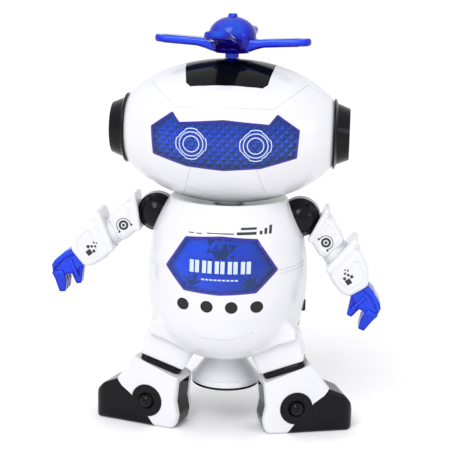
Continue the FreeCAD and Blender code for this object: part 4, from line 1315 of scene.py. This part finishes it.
def legs():
    shell, core, discs = boots()
    pieces = [(thigh(), "thigh", leg_place(), "white_plastic"),
              (ankle_band(), "ankle_band", leg_place(), "black_plastic"),
              (shell, "boot_shell", boot_place(), "white_plastic"),
              (core, "boot_core", boot_place(), "black_plastic")]
    for side in ("left", "right"):
        flip = Matrix.Identity(4) if side == "left" else MIRROR
        body = side + "_leg"
        for obj, node, place, look in pieces:
            piece = placed(obj, side + "_" + node + "_skin", flip @ place)
            finish_piece(piece, body, look, stands_for=[side + "_" + node])
        for disc, end in zip(discs, ("front", "rear")):
            piece = placed(disc, side + "_ankle_disc_" + end, flip @ boot_place())
            stands_for = [side + "_ankle_discs"] if end == "front" else []
            finish_piece(piece, body, "black_plastic", stands_for=stands_for)
    for obj in [p[0] for p in pieces] + discs:
        bpy.data.objects.remove(obj)


# ---- turning base ------------------------------------------------------------------------------
def base():
    """The white cone and the thin black ring that it stands on when the legs are up."""
    floor = CONE_BOTTOM + 1.2
    rim = CONE_BOTTOM + 3.8
    outer = eased([(8.4, 35.1), (12.1, 29.6), (16.4, rim + 0.4), (CONE_R, rim), (CONE_R, floor)], 0.5, 4,
                  closed=False)
    inner = [(15.2, floor), (14.8, rim), (10.4, 29.0), (7.4, 32.0)]
    cone = lathe("base_cone_skin", [(0, 35.1)] + outer + inner + [(0, 32.0)], steps=128)
    cone.data.set_sharp_from_angle(angle=math.radians(35))
    finish_piece(cone, "turning_base", "white_plastic", stands_for=["base_cone"])
    ring_top = floor - 0.02
    edge = eased([(CONE_R - 0.05, ring_top), (CONE_R - 0.05, CONE_BOTTOM)], 0.3, 3, closed=False)
    ring = lathe("base_ring_skin", [(0, ring_top)] + edge + [(0, CONE_BOTTOM)], steps=128)
    ring.data.set_sharp_from_angle(angle=math.radians(35))
    finish_piece(ring, "turning_base", "black_plastic", stands_for=["base_ring"])


# ---- pieces kept from the CAD ------------------------------------------------------------------
def dress_cad_nodes():
    slot_of = {part["node"]: part["material_slot"] for part in frame["record"]["subparts"]}
    for node, obj in frame["nodes"].items():
        if obj.hide_render:
            continue
        obj.data.materials.clear()
        obj.data.materials.append(MATERIALS[slot_of[node]])


# ---- the studio --------------------------------------------------------------------------------
def studio():
    world = bpy.data.worlds.new("studio")
    bpy.context.scene.world = world
    world.use_nodes = True
    world.node_tree.nodes["Background"].inputs["Color"].default_value = (0.985, 0.985, 1.0, 1)
    world.node_tree.nodes["Background"].inputs["Strength"].default_value = 0.93
    floor_mesh = bpy.data.meshes.new("floor")
    reach = 40.0
    corners = [(-reach, -reach, 0), (reach, -reach, 0), (reach, reach, 0), (-reach, reach, 0)]
    floor_mesh.from_pydata(corners, [], [(0, 1, 2, 3)])
    floor = bpy.data.objects.new("floor", floor_mesh)
    bpy.context.scene.collection.objects.link(floor)
    pale = plastic("pale_floor", (0.93, 0.93, 0.93), (0.95, 0.95, 0.95), (0.7, 0.8), 300, 0.01)
    floor.data.materials.append(pale)
    soft_box("key", (-0.25, -0.9, 0.75), (0, 0, 0.11), 0.35, 2.2)
    soft_box("side", (0.9, -0.5, 0.4), (0, 0, 0.11), 0.3, 0.6)
    sun = bpy.data.lights.new("sun", "SUN")
    sun.energy = 0.9
    sun.angle = math.radians(30)
    sun_object = bpy.data.objects.new("sun", sun)
    sun_object.rotation_euler = (math.radians(38), 0, math.radians(-20))
    bpy.context.scene.collection.objects.link(sun_object)


def soft_box(name, place, aim, size, watts):
    lamp = bpy.data.lights.new(name, "AREA")
    lamp.shape = "SQUARE"
    lamp.size = size
    lamp.energy = watts
    obj = bpy.data.objects.new(name, lamp)
    obj.location = place
    obj.rotation_euler = (Vector(aim) - Vector(place)).to_track_quat("-Z", "Y").to_euler()
    bpy.context.scene.collection.objects.link(obj)


def camera():
    """A long lens, a little to the robot's left and above it, tilted slightly."""
    azimuth, elevation, roll = math.radians(5.5), math.radians(12.0), math.radians(1.2)
    aim = Vector((0, 0, 100.7)) * MM
    forward = Vector((-math.sin(azimuth) * math.cos(elevation), math.cos(azimuth) * math.cos(elevation),
                      -math.sin(elevation)))
    right = Vector((math.cos(azimuth), math.sin(azimuth), 0))
    up = right.cross(forward)
    across = right * math.cos(roll) + up * math.sin(roll)
    upright = up * math.cos(roll) - right * math.sin(roll)
    data = bpy.data.cameras.new("camera")
    data.sensor_width = 36
    data.lens = 96
    data.shift_x = -3.5 / 450
    data.clip_start = 0.05
    data.clip_end = 50
    obj = bpy.data.objects.new("camera", data)
    turn = Matrix((across, upright, -forward)).transposed().to_4x4()
    obj.matrix_world = Matrix.Translation(aim - forward * 0.6) @ turn
    bpy.context.scene.collection.objects.link(obj)
    bpy.context.scene.camera = obj


head()
propeller()
torso()
arms()
legs()
base()
dress_cad_nodes()
studio()
camera()
bpy.context.scene.view_settings.view_transform = "Standard"
